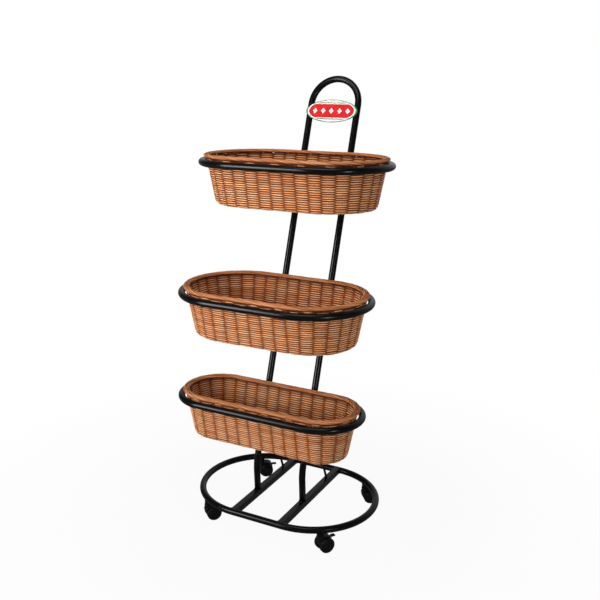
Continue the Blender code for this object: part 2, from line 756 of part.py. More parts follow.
def main():
    clear_scene()
    parts = make_collection("basket_display_rack")
    cutters = make_collection("basket_display_rack_cutters")
    powder_coat = make_material("black_powder_coat", (0.012, 0.012, 0.013), 0.38, 0.0)
    bare_steel = make_material("zinc_plated_steel", (0.45, 0.45, 0.46), 0.35, 1.0)
    black_plastic = make_material("black_nylon", (0.010, 0.010, 0.011), 0.45, 0.0)
    enamel = make_material("white_enamel", (0.80, 0.79, 0.77), 0.25, 0.0)
    rubber = make_material("black_rubber", (0.018, 0.018, 0.018), 0.75, 0.0)
    wicker = make_material("honey_wicker", (0.42, 0.17, 0.06), 0.60, 0.0)
    border_wicker = make_material("tan_wicker", (0.48, 0.21, 0.09), 0.55, 0.0)

    base_clearance = build_frame(parts, cutters, powder_coat)
    build_sign(parts, cutters, enamel, rubber)
    for name in RINGS:
        build_basket(name, parts, wicker, border_wicker)
    wheel = wheel_mesh()
    hoods = {False: hood_mesh(cutters, "plain", False), True: hood_mesh(cutters, "braked", True)}
    brake = brake_mesh(cutters)
    for label in CASTERS:
        build_caster(
            label, wheel, hoods, brake, parts, cutters, base_clearance, powder_coat, bare_steel, black_plastic
        )


main()
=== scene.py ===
# Basket display rack: woven baskets, coated tube frame, casters and sign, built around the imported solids.
# Lengths are metres, +Z is up and -Y is the front.

import json
import math

import bmesh
import bpy
import numpy as np
from mathutils import Matrix, Vector


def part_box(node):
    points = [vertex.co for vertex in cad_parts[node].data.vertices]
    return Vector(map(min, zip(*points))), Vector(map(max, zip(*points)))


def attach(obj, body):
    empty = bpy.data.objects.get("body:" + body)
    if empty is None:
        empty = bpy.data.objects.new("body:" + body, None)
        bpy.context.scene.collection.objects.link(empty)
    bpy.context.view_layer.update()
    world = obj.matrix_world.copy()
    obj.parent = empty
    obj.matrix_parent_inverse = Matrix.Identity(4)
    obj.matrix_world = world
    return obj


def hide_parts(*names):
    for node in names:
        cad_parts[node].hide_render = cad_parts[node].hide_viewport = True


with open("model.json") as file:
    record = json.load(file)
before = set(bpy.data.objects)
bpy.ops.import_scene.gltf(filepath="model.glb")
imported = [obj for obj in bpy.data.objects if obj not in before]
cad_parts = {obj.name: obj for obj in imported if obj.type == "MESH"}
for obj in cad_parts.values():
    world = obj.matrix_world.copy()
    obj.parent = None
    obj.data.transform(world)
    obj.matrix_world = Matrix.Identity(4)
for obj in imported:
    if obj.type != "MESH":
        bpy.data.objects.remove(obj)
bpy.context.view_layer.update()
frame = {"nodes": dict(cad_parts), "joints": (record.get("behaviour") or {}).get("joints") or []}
joints = {joint["name"]: joint for joint in frame["joints"]}


# meshes from point grids

def fullTurn(count):
    return np.linspace(0, 2 * math.pi, count, endpoint=False)


def unit(vectors):
    vectors = np.asarray(vectors, float)
    return vectors / np.linalg.norm(vectors, axis=-1, keepdims=True)


def gridFaces(rows, columns, closed, flip=False):
    # every row of points runs round a section, and closed joins the last row to the first
    row, column = np.meshgrid(np.arange(rows if closed else rows - 1), np.arange(columns), indexing="ij")
    nextRow, nextColumn = (row + 1) % rows, (column + 1) % columns
    corners = [row * columns + column, row * columns + nextColumn,
               nextRow * columns + nextColumn, nextRow * columns + column]
    if flip:
        corners.reverse()
    return np.stack(corners, -1).reshape(-1, 4)


def cappedFaces(rows, columns, flip=False):
    caps = [list(range(columns - 1, -1, -1)), list(range((rows - 1) * columns, rows * columns))]
    if flip:
        caps = [cap[::-1] for cap in caps]
    return gridFaces(rows, columns, False, flip).tolist() + caps


def linked(name, data):
    thing = bpy.data.objects.new(name, data)
    bpy.context.scene.collection.objects.link(thing)
    return thing


def makePiece(name, points, faces, material, sharpDegrees=None):
    mesh = bpy.data.meshes.new(name)
    mesh.from_pydata([tuple(point) for point in points], [], [tuple(face) for face in faces])
    mesh.update()
    mesh.shade_smooth()
    mesh.materials.append(material)
    if sharpDegrees:
        mesh.set_sharp_from_angle(angle=math.radians(sharpDegrees))
    return linked(name, mesh)


def place(piece, body, slotName, *nodes):
    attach(piece, body)
    if nodes:
        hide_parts(*nodes)
    return piece


def refinish(node, material):
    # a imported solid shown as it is, in another finish
    materials = frame["nodes"][node].data.materials
    materials.clear()
    materials.append(material)


def addValues(piece, name, values):
    values = np.asarray(values, np.float32)
    kind = "FLOAT" if values.ndim == 1 else "FLOAT_VECTOR"
    attribute = piece.data.attributes.new(name, kind, "POINT")
    attribute.data.foreach_set("value" if kind == "FLOAT" else "vector", values.ravel())


def addMap(piece, corners):
    layer = piece.data.uv_layers.new(name="OFBake")
    layer.data.foreach_set("uv", np.asarray(corners, np.float32).ravel())


def stripMap(columns, sides, share, flip=False):
    # map corners for the faces of one strip, which takes up a share of the map's height
    u0 = np.arange(columns)[:, None] / columns + np.zeros((1, sides))
    v0 = np.arange(sides)[None] / sides * share + (1 - share) / 2 + np.zeros((columns, 1))
    u1, v1 = u0 + 1 / columns, v0 + share / sides
    corners = [np.stack(corner, -1) for corner in ((u0, v0), (u0, v1), (u1, v1), (u1, v0))]
    if flip:
        corners.reverse()
    return np.stack(corners, 2)


def sweepRings(line, radii, sides, reference, closed):
    # a round section carried along a line, with the reference giving its first direction
    line = np.asarray(line, float)
    if closed:
        along = unit(np.roll(line, -1, 0) - np.roll(line, 1, 0))
    else:
        along = unit(np.gradient(line, axis=0))
    reference = np.broadcast_to(np.asarray(reference, float), line.shape)
    across = unit(reference - (reference * along).sum(1, keepdims=True) * along)
    other = np.cross(along, across)
    turn = fullTurn(sides)[:, None]
    section = across[:, None] * np.cos(turn) + other[:, None] * np.sin(turn)
    return line[:, None] + section * np.broadcast_to(radii, len(line))[:, None, None]


def sweepTube(line, radii, sides, reference, closed):
    rings = sweepRings(line, radii, sides, reference, closed)
    faces = gridFaces(len(rings), sides, True).tolist() if closed else cappedFaces(len(rings), sides)
    return rings.reshape(-1, 3), faces


def joinParts(parts):
    points, faces, count = [], [], 0
    for partPoints, partFaces in parts:
        points.append(np.asarray(partPoints))
        faces.extend([[corner + count for corner in face] for face in partFaces])
        count += len(partPoints)
    return np.concatenate(points), faces


def turnedPart(profile, steps):
    # a profile of (radius, height) turned about Z, with a flat disc at both ends
    angle = 2 * math.pi * np.arange(steps) / steps
    rings = [np.stack([radius * np.cos(angle), radius * np.sin(angle), np.full(steps, height)], -1)
             for radius, height in profile]
    points = np.concatenate([[(0, 0, profile[0][1])], *rings, [(0, 0, profile[-1][1])]])
    top = len(points) - 1
    pairs = [(step, (step + 1) % steps) for step in range(steps)]
    faces = [[0, 1 + after, 1 + step] for step, after in pairs]
    faces += (gridFaces(len(rings), steps, False) + 1).tolist()
    faces += [[top - steps + step, top - steps + after, top] for step, after in pairs]
    return points, faces


# finishes

noiseRange = (0.3, 0.7)  # what noise values mostly lie between


def feed(tree, socket, value):
    if isinstance(value, bpy.types.NodeSocket):
        tree.links.new(value, socket)
    else:
        socket.default_value = value


def addNode(tree, kind, sockets=(), **settings):
    node = tree.nodes.new("ShaderNode" + kind)
    for key, value in settings.items():
        setattr(node, key, value)
    for key, value in dict(sockets).items():
        feed(tree, node.inputs[key], value)
    return node


def newFinish(name):
    material = bpy.data.materials.new(name)
    material.use_nodes = True
    return material, material.node_tree, material.node_tree.nodes["Principled BSDF"]


def dress(tree, shader, colour, roughness, gloss=0.5):
    for name, value in (("Base Color", colour), ("Roughness", roughness), ("Specular IOR Level", gloss)):
        feed(tree, shader.inputs[name], value)


def maths(tree, operation, first, second=0.0):
    return addNode(tree, "Math", {0: first, 1: second}, operation=operation).outputs[0]


def mixColour(tree, mode, amount, first, second):
    sockets = {0: amount, 6: first, 7: second}
    return addNode(tree, "Mix", sockets, data_type="RGBA", blend_type=mode).outputs[2]


def ramp(tree, value, stops):
    node = addNode(tree, "ValToRGB", {"Fac": value})
    elements = node.color_ramp.elements
    while len(elements) < len(stops):
        elements.new(0.5)
    for element, (position, colour) in zip(elements, stops):
        element.position = position
        element.color = (*colour, 1.0)
    return node.outputs["Color"]


def noise(tree, vector, scale, detail, roughness):
    sockets = {"Vector": vector, "Scale": scale, "Detail": detail, "Roughness": roughness}
    return addNode(tree, "TexNoise", sockets).outputs["Fac"]


def stretchedNoise(tree, vector, stretch, detail, roughness):
    stretched = addNode(tree, "Mapping", {"Vector": vector, "Scale": stretch}).outputs["Vector"]
    return noise(tree, stretched, 1.0, detail, roughness)


def spread(tree, value, fromLow, fromHigh, toLow, toHigh):
    sockets = {"Value": value, "From Min": fromLow, "From Max": fromHigh, "To Min": toLow, "To Max": toHigh}
    return addNode(tree, "MapRange", sockets).outputs["Result"]


def bump(tree, shader, height, distance, strength):
    node = addNode(tree, "Bump", {"Height": height, "Distance": distance, "Strength": strength})
    tree.links.new(node.outputs["Normal"], shader.inputs["Normal"])


wickerLook = {
    "wall": [(0.0, (0.605, 0.186, 0.060)), (0.35, (0.800, 0.300, 0.115)),
             (0.70, (0.905, 0.408, 0.180)), (1.0, (0.955, 0.535, 0.280))],
    "border": [(0.0, (0.365, 0.104, 0.030)), (0.40, (0.520, 0.184, 0.066)),
               (0.75, (0.630, 0.256, 0.104)), (1.0, (0.735, 0.365, 0.170))],
    # painted shade: how deep the recesses are darkened, and the dark colour they take
    "wallPaintedShade": 0.94, "borderPaintedShade": 0.90, "paintedShadeColour": (0.080, 0.013, 0.002, 1.0),
    "openness": (-0.02, 0.84),  # openness with full painted shade, and with none
    "streak": (16, 1.6, 1.6), "streakTint": 0.20, "streakDepth": 0.00035,
    "fleck": (70, 2.4, 2.4), "fleckFrom": (0.60, 0.78), "fleckDark": 0.45,
    "fleckColour": (0.45, 0.28, 0.18, 1),
    "roughness": (0.46, 0.66), "gloss": 0.16,
}


def wickerFinish(name, stops, paintedShadeDepth):
    # peeled willow: one tint for each rod, streaks along it, and painted shade in the recesses
    look = wickerLook
    material, tree, shader = newFinish(name)
    tint = addNode(tree, "Attribute", attribute_name="tint").outputs["Fac"]
    openness = addNode(tree, "Attribute", attribute_name="open").outputs["Fac"]
    grain = addNode(tree, "Attribute", attribute_name="grain").outputs["Vector"]
    streak = stretchedNoise(tree, grain, look["streak"], 4.0, 0.6)
    fleck = stretchedNoise(tree, grain, look["fleck"], 2.0, 0.5)
    shade = spread(tree, streak, *noiseRange, -look["streakTint"], look["streakTint"])
    body = ramp(tree, maths(tree, "ADD", shade, tint), stops)
    darkFleck = spread(tree, fleck, *look["fleckFrom"], 0.0, look["fleckDark"])
    flecked = mixColour(tree, "MULTIPLY", darkFleck, body, look["fleckColour"])
    # painted shade where the openness is low
    paintedShadeShare = spread(tree, openness, *look["openness"], paintedShadeDepth, 0.0)
    withPaintedShade = mixColour(tree, "MIX", paintedShadeShare, flecked, look["paintedShadeColour"])
    dress(tree, shader, withPaintedShade, spread(tree, streak, *noiseRange, *look["roughness"]), look["gloss"])
    bump(tree, shader, streak, look["streakDepth"], 0.6)
    return material


# satin powder coat with fine orange peel, and moulded nylon
coatLook = {"colour": (0.0024, 0.0024, 0.0027, 1), "dusty": (0.0090, 0.0090, 0.0094, 1),
            "cloudScale": 9.0, "dustFrom": (0.48, 0.80), "roughFrom": (0.3, 0.75), "roughness": (0.19, 0.27),
            "gloss": 0.26, "skinScale": 620, "skinDepth": 0.00012}
nylonLook = {"colour": (0.0036, 0.0036, 0.0039, 1), "dusty": (0.0125, 0.012, 0.0115, 1),
             "cloudScale": 70.0, "dustFrom": (0.50, 0.78), "roughFrom": noiseRange, "roughness": (0.40, 0.56),
             "gloss": 0.20, "skinScale": 1500.0, "skinDepth": 0.00008}


def dustyFinish(name, look):
    # a black skin, a little greyer and rougher where clouds of dust lie on it
    material, tree, shader = newFinish(name)
    local = addNode(tree, "TexCoord").outputs["Object"]
    skin = noise(tree, local, look["skinScale"], 2.0, 0.5)
    cloud = noise(tree, local, look["cloudScale"], 4.0, 0.6)
    dust = spread(tree, cloud, *look["dustFrom"], 0.0, 0.5)
    colour = mixColour(tree, "MIX", dust, look["colour"], look["dusty"])
    dress(tree, shader, colour, spread(tree, cloud, *look["roughFrom"], *look["roughness"]), look["gloss"])
    bump(tree, shader, skin, look["skinDepth"], 0.5)
    return material


zincLook = {"grain": (900, 900, 60), "tones": [(0.3, (0.36, 0.36, 0.38)), (0.7, (0.58, 0.58, 0.58))],
            "roughness": (0.26, 0.42), "metal": 1.0, "depth": 0.0}
rubberLook = {"grain": (900, 900, 900),
              "tones": [(0.3, (0.010, 0.010, 0.010)), (0.75, (0.024, 0.024, 0.024))],
              "roughness": (0.62, 0.82), "metal": 0.0, "depth": 0.0001}


def grainyFinish(name, look):
    # brushed plating or gritty rubber
    material, tree, shader = newFinish(name)
    local = addNode(tree, "TexCoord").outputs["Object"]
    grain = stretchedNoise(tree, local, look["grain"], 3.0, 0.6)
    roughness = spread(tree, grain, *noiseRange, *look["roughness"])
    dress(tree, shader, ramp(tree, grain, look["tones"]), roughness)
    feed(tree, shader.inputs["Metallic"], look["metal"])
    if look["depth"]:
        bump(tree, shader, grain, look["depth"], 0.5)
    return material


signLook = {
    "belowArch": 0.108, "width": 0.188, "height": 0.077, "thickness": 0.003, "rim": 0.0011, "dome": 0.0004,
    "steps": 96, "rimSteps": 8, "backRings": (0.04, 0.5, 0.96),  # rings as shares of the plate
    "faceRings": (0.955, 0.90, 0.80, 0.65, 0.5, 0.35, 0.2, 0.04),
    "groove": (0.93, 0.00025),  # share and depth of a pressed line in the face
    "pad": 0.002, "padGap": 0.0003,
    "white": (0.82, 0.81, 0.78, 1), "red": (0.66, 0.009, 0.014, 1), "green": (0.020, 0.210, 0.060, 1),
    "field": 0.88, "edge": 0.945,  # shares where the artwork stops and the green edge starts
    "bandHalf": 0.0228, "lineAt": 0.0272, "lineHalf": 0.0012,
    "lozengePitch": 0.0300, "lozengeHalf": 0.0085, "lozengeSlope": 0.85, "lozengeCount": 5,
    "wear": (0.80, 0.77, 0.72, 1), "wearFrom": (0.5, 0.8), "wearDepth": 0.22, "cloudScale": 60.0,
    "skinScale": 260.0, "skinDepth": 0.00012, "roughness": (0.26, 0.40), "gloss": 0.22,
}


def signFinish():
    # white enamel with a green edge, a plain red band, two green lines and a row of white lozenges
    look = signLook
    material, tree, shader = newFinish("white_enamel")
    local = addNode(tree, "TexCoord").outputs["Object"]
    across, up, out = addNode(tree, "SeparateXYZ", {0: local}).outputs

    def sums(operation, first, second=0.0):
        return maths(tree, operation, first, second)

    def paint(where, under, colour):
        return mixColour(tree, "MIX", where, under, colour)

    wideShare = sums("DIVIDE", across, look["width"] / 2)
    highShare = sums("DIVIDE", up, look["height"] / 2)
    reach = sums("ADD", sums("MULTIPLY", wideShare, wideShare), sums("MULTIPLY", highShare, highShare))
    reach = sums("SQRT", reach)
    inField = sums("LESS_THAN", reach, look["field"])
    level = sums("ABSOLUTE", up)
    inBand = sums("MULTIPLY", inField, sums("LESS_THAN", level, look["bandHalf"]))
    fromLine = sums("ABSOLUTE", sums("SUBTRACT", level, look["lineAt"]))
    inLine = sums("MULTIPLY", inField, sums("LESS_THAN", fromLine, look["lineHalf"]))
    pitch = look["lozengePitch"]
    fromMiddle = sums("PINGPONG", sums("ADD", across, pitch * 50), pitch / 2)
    diamond = sums("ADD", fromMiddle, sums("MULTIPLY", level, look["lozengeSlope"]))
    inRow = sums("LESS_THAN", sums("ABSOLUTE", across), pitch * (look["lozengeCount"] / 2))
    inDiamond = sums("MULTIPLY", inRow, sums("LESS_THAN", diamond, look["lozengeHalf"]))
    inGreen = sums("MAXIMUM", inLine, sums("GREATER_THAN", reach, look["edge"]))
    ground = paint(inGreen, look["white"], look["green"])
    ground = paint(inBand, ground, look["red"])
    ground = paint(inDiamond, ground, look["white"])
    ground = paint(sums("GREATER_THAN", out, 0.0), look["white"], ground)  # the back is plain
    cloud = noise(tree, local, look["cloudScale"], 4.0, 0.6)
    wear = spread(tree, cloud, *look["wearFrom"], 0.0, look["wearDepth"])
    worn = mixColour(tree, "MULTIPLY", wear, ground, look["wear"])
    dress(tree, shader, worn, spread(tree, cloud, *noiseRange, *look["roughness"]), look["gloss"])
    bump(tree, shader, noise(tree, local, look["skinScale"], 2.0, 0.5), look["skinDepth"], 0.35)
    return material


wallFinish = wickerFinish("honey_wicker", wickerLook["wall"], wickerLook["wallPaintedShade"])
borderFinish = wickerFinish("tan_wicker", wickerLook["border"], wickerLook["borderPaintedShade"])
coat = dustyFinish("black_powder_coat", coatLook)
nylon = dustyFinish("black_nylon", nylonLook)
zinc = grainyFinish("zinc_plated_steel", zincLook)
rubber = grainyFinish("black_rubber", rubberLook)
enamel = signFinish()
print("finishes ready")


# tube frame

tubeLook = {"radius": 0.011, "sides": 28, "endSteps": 56, "runSteps": 12, "barSteps": 8, "stubSteps": 4}
uprightLook = {"legX": 0.086, "lean": math.radians(18.2), "footY": -0.0931099, "footTilt": math.radians(3.5),
               "bendHeight": 0.187, "bendRadius": 0.150, "archTop": 1.437,
               "bendSteps": 16, "legSteps": 13, "archSteps": 48}
baseHeight = 0.075
crossLook = {"side": 0.022, "corner": 0.0018, "cornerSteps": 6}
stayLook = {"radius": 0.004, "footBehind": 0.184, "topHeight": 0.375}
stubRadius = 0.008
tubeRadius = tubeLook["radius"]
lean, footTilt = uprightLook["lean"], uprightLook["footTilt"]
leanWay = np.array((0, math.sin(lean), math.cos(lean)))
leanNormal = np.array((0, -math.cos(lean), math.sin(lean)))


def uprightY(height):
    # the leaning part of the uprights' centre line
    corner = -math.tan(footTilt) * (uprightLook["bendHeight"] - baseHeight)
    return uprightLook["footY"] + (corner + math.tan(lean) * (height - uprightLook["bendHeight"]))


def ovalOf(node):
    # middle, half of the straight run and end radius of an oval tube's centre line, from the box of its solid
    low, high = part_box(node)
    radius = (high.y - low.y) / 2 - tubeRadius
    half = (high.x - low.x) / 2 - tubeRadius - radius
    return np.array([(first + second) / 2 for first, second in zip(low, high)]), half, radius


def ovalLine(node):
    middle, half, radius = ovalOf(node)
    points = []
    for side in (1, -1):
        for angle in np.linspace(-math.pi / 2, math.pi / 2, tubeLook["endSteps"] + 1):
            points.append((side * (half + radius * math.cos(angle)), side * radius * math.sin(angle), 0))
        for share in np.linspace(0, 1, tubeLook["runSteps"] + 1)[1:-1]:
            points.append((side * half * (1 - 2 * share), side * radius, 0))
    return np.array(points) + middle


def uprightLine():
    # up one leg, over the arch and down the other
    look = uprightLook
    legX, bend = look["legX"], look["bendRadius"]
    startHeight = look["bendHeight"] - bend * math.tan((lean + footTilt) / 2) * math.cos(footTilt)
    startY = look["footY"] - math.tan(footTilt) * (startHeight - baseHeight)
    leg = [(look["footY"], baseHeight)]
    for angle in np.linspace(-footTilt, lean, look["bendSteps"] + 1):
        leg.append((startY + bend * (math.cos(footTilt) - math.cos(angle)),
                    startHeight + bend * (math.sin(footTilt) + math.sin(angle))))
    springHeight = look["archTop"] - legX * math.cos(lean)
    for height in np.linspace(leg[-1][1], springHeight, look["legSteps"] + 1)[1:-1]:
        leg.append((uprightY(height), height))
    points = [(-legX, y, z) for y, z in leg]
    for angle in np.linspace(0, math.pi, look["archSteps"] + 1):
        height = springHeight + legX * math.sin(angle) * math.cos(lean)
        points.append((-legX * math.cos(angle), uprightY(height), height))
    points.extend((legX, y, z) for y, z in reversed(leg))
    return np.array(points)


def tubePiece(node, line, radius, reference, closed=False):
    points, faces = sweepTube(line, radius, tubeLook["sides"], reference, closed)
    return place(makePiece(node + "_tube", points, faces, coat), "frame", "black_powder_coat", node)


for node in ("base_ring", "basket_ring_top", "basket_ring_middle", "basket_ring_bottom"):
    tubePiece(node, ovalLine(node), tubeRadius, (0, 0, 1), closed=True)
tubePiece("upright_frame", uprightLine(), tubeRadius, leanNormal)

weldLook = {
    "radius": 0.0019, "ripple": 0.0031, "rippleDepth": 0.13, "sides": 10,
    "gap": 0.0016, "roundPoints": 120, "touchPoints": 72,
    "fullFrom": 0.008,  # tubes thinner than this get a smaller bead
    "thinnest": 0.35, "steepGain": 2.2,  # a bead thins where the tubes run side by side
    "touchReach": 0.0072, "touchRadius": 0.0017, "touchRipples": 14, "touchGap": 0.00015,
}
welds = []


def addBead(line, out, scale):
    # a rippled bead of weld along a closed line
    step = np.linalg.norm(np.roll(line, -1, 0) - line, axis=1)
    run = np.concatenate([[0], np.cumsum(step)[:-1]])
    ripples = round(step.sum() / weldLook["ripple"])
    ripple = 1 + weldLook["rippleDepth"] * np.sin(2 * math.pi * ripples * run / step.sum())
    welds.append(sweepTube(line, weldLook["radius"] * scale * ripple, weldLook["sides"], out, True))


def beadSize(section):
    return min(1, np.linalg.norm(section, axis=1).max() / weldLook["fullFrom"])


def saddleWeld(foot, way, section, mainWay):
    # where a tube leaves the side of a round one; section holds the tube's outline points about its middle
    foot, way, mainWay = np.array(foot, float), unit(way), unit(mainWay)
    flatStart = section - (section @ mainWay)[:, None] * mainWay
    flatWay = way - (way @ mainWay) * mainWay
    a, b = flatWay @ flatWay, flatStart @ flatWay
    c = (flatStart * flatStart).sum(1) - tubeRadius ** 2
    root = np.sqrt(np.maximum(b * b - a * c, 0))
    line = foot + section + ((root - b) / a)[:, None] * way
    steep = np.clip(root / (tubeRadius * math.sqrt(a)), 0, 1)
    thinnest = weldLook["thinnest"]
    thin = thinnest + (1 - thinnest) * np.clip(steep * weldLook["steepGain"], 0, 1)
    addBead(line, unit(section), beadSize(section) * thin)


def flatWeld(foot, way, section, height):
    # where a tube stands on a flat top
    way = unit(way)
    start = np.array(foot, float) + section
    line = start + ((height - start[:, 2]) / way[2])[:, None] * way
    addBead(line, unit(section * (1, 1, 0)), beadSize(section))


def touchWeld(middle, along, out):
    # a bead round the point where two crossing tubes touch
    angle = fullTurn(weldLook["touchPoints"])
    u, v = weldLook["touchReach"] * np.cos(angle), weldLook["touchReach"] * np.sin(angle)
    lift = (v * v - u * u) / (4 * tubeRadius)
    line = middle + np.outer(u, (1, 0, 0)) + np.outer(v, along) + np.outer(lift, out)
    ripple = 1 + weldLook["rippleDepth"] * np.sin(weldLook["touchRipples"] * angle)
    welds.append(sweepTube(line, weldLook["touchRadius"] * ripple, weldLook["sides"], out, True))


def roundSection(way, radius):
    way = unit(way)
    first = unit(np.cross(way, (0.0, 0.0, 1.0) if abs(way[2]) < 0.9 else (0.0, 1.0, 0.0)))
    angle = fullTurn(weldLook["roundPoints"])[:, None]
    return radius * (np.cos(angle) * first + np.sin(angle) * np.cross(way, first))


def squareSection():
    # the cross tubes' outline across X and Z, with rounded corners
    corner = crossLook["corner"]
    inner = crossLook["side"] / 2 - corner
    points = []
    for x, z, start in ((1, 1, 0), (-1, 1, 90), (-1, -1, 180), (1, -1, 270)):
        for angle in np.radians(np.linspace(start, start + 90, crossLook["cornerSteps"] + 1)):
            points.append((x * inner + corner * math.cos(angle), 0.0, z * inner + corner * math.sin(angle)))
    return np.array(points)


def filledSection(section):
    # the same outline with points close enough for a bead to follow
    points = []
    for first, second in zip(section, np.roll(section, -1, 0)):
        steps = max(1, round(np.linalg.norm(second - first) / weldLook["gap"]))
        points.extend(first + (second - first) * step / steps for step in range(steps))
    return np.array(points)


def crossTube(node, front, rear):
    # a square bar between the two sides of the base ring
    section = squareSection()
    line = np.linspace(front, rear, tubeLook["barSteps"] + 1)
    points = (line[:, None] + section[None]).reshape(-1, 3)
    faces = cappedFaces(len(line), len(section), flip=True)
    piece = makePiece(node + "_tube", points, faces, coat, sharpDegrees=40)
    return place(piece, "frame", "black_powder_coat", node)


def ringRear(x, level):
    # a point on the rear of a basket ring's centre line
    low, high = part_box("basket_ring_" + level)
    return np.array((x, high.y - tubeRadius, (low.z + high.z) / 2))


def buildSide(x, label):
    # what stands or hangs on one upright: cross tube, stay rod, stubs and their welds
    crossTop = baseHeight + crossLook["side"] / 2
    baseMiddle, _, baseDepth = ovalOf("base_ring")
    front, rear = ((x, baseMiddle[1] + way * baseDepth, baseHeight) for way in (-1, 1))
    crossTube("cross_tube_" + label, front, rear)
    crossSection = filledSection(squareSection())
    saddleWeld(front, (0, 1, 0), crossSection, (1, 0, 0))
    saddleWeld(rear, (0, -1, 0), crossSection, (1, 0, 0))
    footWay = (0, -math.sin(footTilt), math.cos(footTilt))
    foot = (x, uprightLook["footY"], baseHeight)
    flatWeld(foot, footWay, roundSection(footWay, tubeRadius), crossTop)

    stayFoot = np.array((x, uprightLook["footY"] + stayLook["footBehind"], baseHeight))
    stayTop = np.array((x, uprightY(stayLook["topHeight"]), stayLook["topHeight"]))
    stayLine = np.linspace(stayFoot, stayTop, tubeLook["barSteps"] + 1)
    tubePiece("stay_rod_" + label, stayLine, stayLook["radius"], (1, 0, 0))
    staySection = roundSection(stayTop - stayFoot, stayLook["radius"])
    flatWeld(stayFoot, stayTop - stayFoot, staySection, crossTop)
    saddleWeld(stayTop, stayFoot - stayTop, staySection, leanWay)

    stubSection = roundSection((0, 1, 0), stubRadius)
    for level in ("top", "middle"):
        start = ringRear(x, level)
        end = np.array((x, uprightY(start[2]), start[2]))
        stubLine = np.linspace(start, end, tubeLook["stubSteps"] + 1)
        tubePiece("ring_stub_%s_%s" % (level, label), stubLine, stubRadius, (0, 0, 1))
        saddleWeld(start, (0, 1, 0), stubSection, (1, 0, 0))
        saddleWeld(end, (0, -1, 0), stubSection, leanWay)
    touch = ringRear(x, "bottom") - leanNormal * (tubeRadius + weldLook["touchGap"])
    touchWeld(touch, leanWay, -leanNormal)


for side, label in ((-1, "left"), (1, "right")):
    buildSide(side * uprightLook["legX"], label)
weldPoints, weldFaces = joinParts(welds)
place(makePiece("frame_welds", weldPoints, weldFaces, coat), "frame", "black_powder_coat")
print("tube frame:", len(welds), "welds")


# sign

def ellipseRing(width, height, level):
    angle = fullTurn(signLook["steps"])
    return np.stack([width * np.cos(angle), height * np.sin(angle), np.full(len(angle), level)], -1)


def buildSign():
    look = signLook
    wide, high, rim = look["width"] / 2, look["height"] / 2, look["rim"]
    back, face = -look["thickness"] / 2, look["thickness"] / 2
    rings = [ellipseRing(wide * share, high * share, back) for share in look["backRings"]]
    for angle in np.linspace(-math.pi / 2, math.pi / 2, look["rimSteps"] + 1):
        inward = rim * (1 - math.cos(angle))
        level = (back + rim if angle < 0 else face - rim - look["dome"]) + rim * math.sin(angle)
        rings.append(ellipseRing(wide - inward, high - inward, level))
    grooveShare, grooveDepth = look["groove"]
    for share in sorted((grooveShare, *look["faceRings"]), reverse=True):
        level = face - look["dome"] * share ** 2
        if share == grooveShare:
            level -= grooveDepth
        rings.append(ellipseRing(wide * share, high * share, level))
    faces = cappedFaces(len(rings), len(rings[0]))
    piece = makePiece("sign_plate", np.concatenate(rings), faces, enamel)
    height = uprightLook["archTop"] - look["belowArch"]
    stand = tubeRadius + look["padGap"] + look["pad"] + look["padGap"] + look["thickness"] / 2
    onTubes = Matrix.Translation((0, uprightY(height), height)) @ Matrix.Rotation(math.pi / 2 - lean, 4, "X")
    piece.matrix_world = onTubes @ Matrix.Translation((0, 0, stand))
    place(piece, "frame", "white_enamel", "sign_panel")


buildSign()
for label in ("left", "right"):
    refinish("sign_saddle_" + label, rubber)
print("sign ready")


# wicker baskets

basketLook = {
    "wallTop": 0.0110,  # top row above the ring's centre line
    "turnHeight": -0.116, "turnInset": 0.054284,  # middle of the turn at the wall's foot
    "turnRadius": 0.012,  # of the wall's middle plane
    "taper": math.radians(11),
    "rowPitch": 0.00355,
    "stakeRadius": 0.0017, "stakePoints": 26, "stakePast": (0.004, 0.010),  # beyond the top row and the turn
    # the stakes' low openness puts them in painted shade behind the weavers
    "stakeTints": (0.15, 0.5), "stakeOpen": -0.1,
    # floor zones from and to a share of its reach, with every first, second or fourth spoke of the ends
    "floorZones": ((0.55, 2.0, 1), (0.24, 0.55, 2), (0.0, 0.24, 4)),
    "floorHole": 0.010,
    "rodSides": 8, "rodSpread": 0.06,
}
# stakes along each straight side and round each end
stakeCounts = {"top": (6, 12), "middle": (6, 12), "bottom": (9, 7)}
weaveLook = {
    "samples": 9, "sides": 6,  # points for each stake spacing and round a weaver
    "wave": 0.0014,  # how far a weaver swings either side of the stakes
    "sharpness": 3.2, "swellPower": 0.8,
    "depth": 0.0027, "height": (0.00215, 0.00255),  # where it crosses and where it passes a stake
    "floorShare": 0.85,  # swing and depth of the floor's weavers
    "unevenWave": 0.10, "unevenHeight": 0.07, "unevenRow": 0.00022,
    "lump": 0.0006, "unevenLump": 0.0005,
    "tints": (0.26, 0.86), "patchTint": 0.10,
    "bulgeShading": 0.42, "bulgeShadingFrom": 0.69,  # painted highlight where a weaver bows out over a stake, painted shade towards the crossings
    "crossingUnshaded": 0.26,  # less painted shade on a weaver where it crosses between two stakes
    "rimPaintedShade": 0.85, "rimPaintedShadeRows": 2.4,  # painted shade inside the wall, under the border
    "grainStep": 0.042, "grainRow": 3.7, "mapShare": 0.96,
}


def stakeTotal(oval):
    return 2 * (oval["along"] + oval["around"])


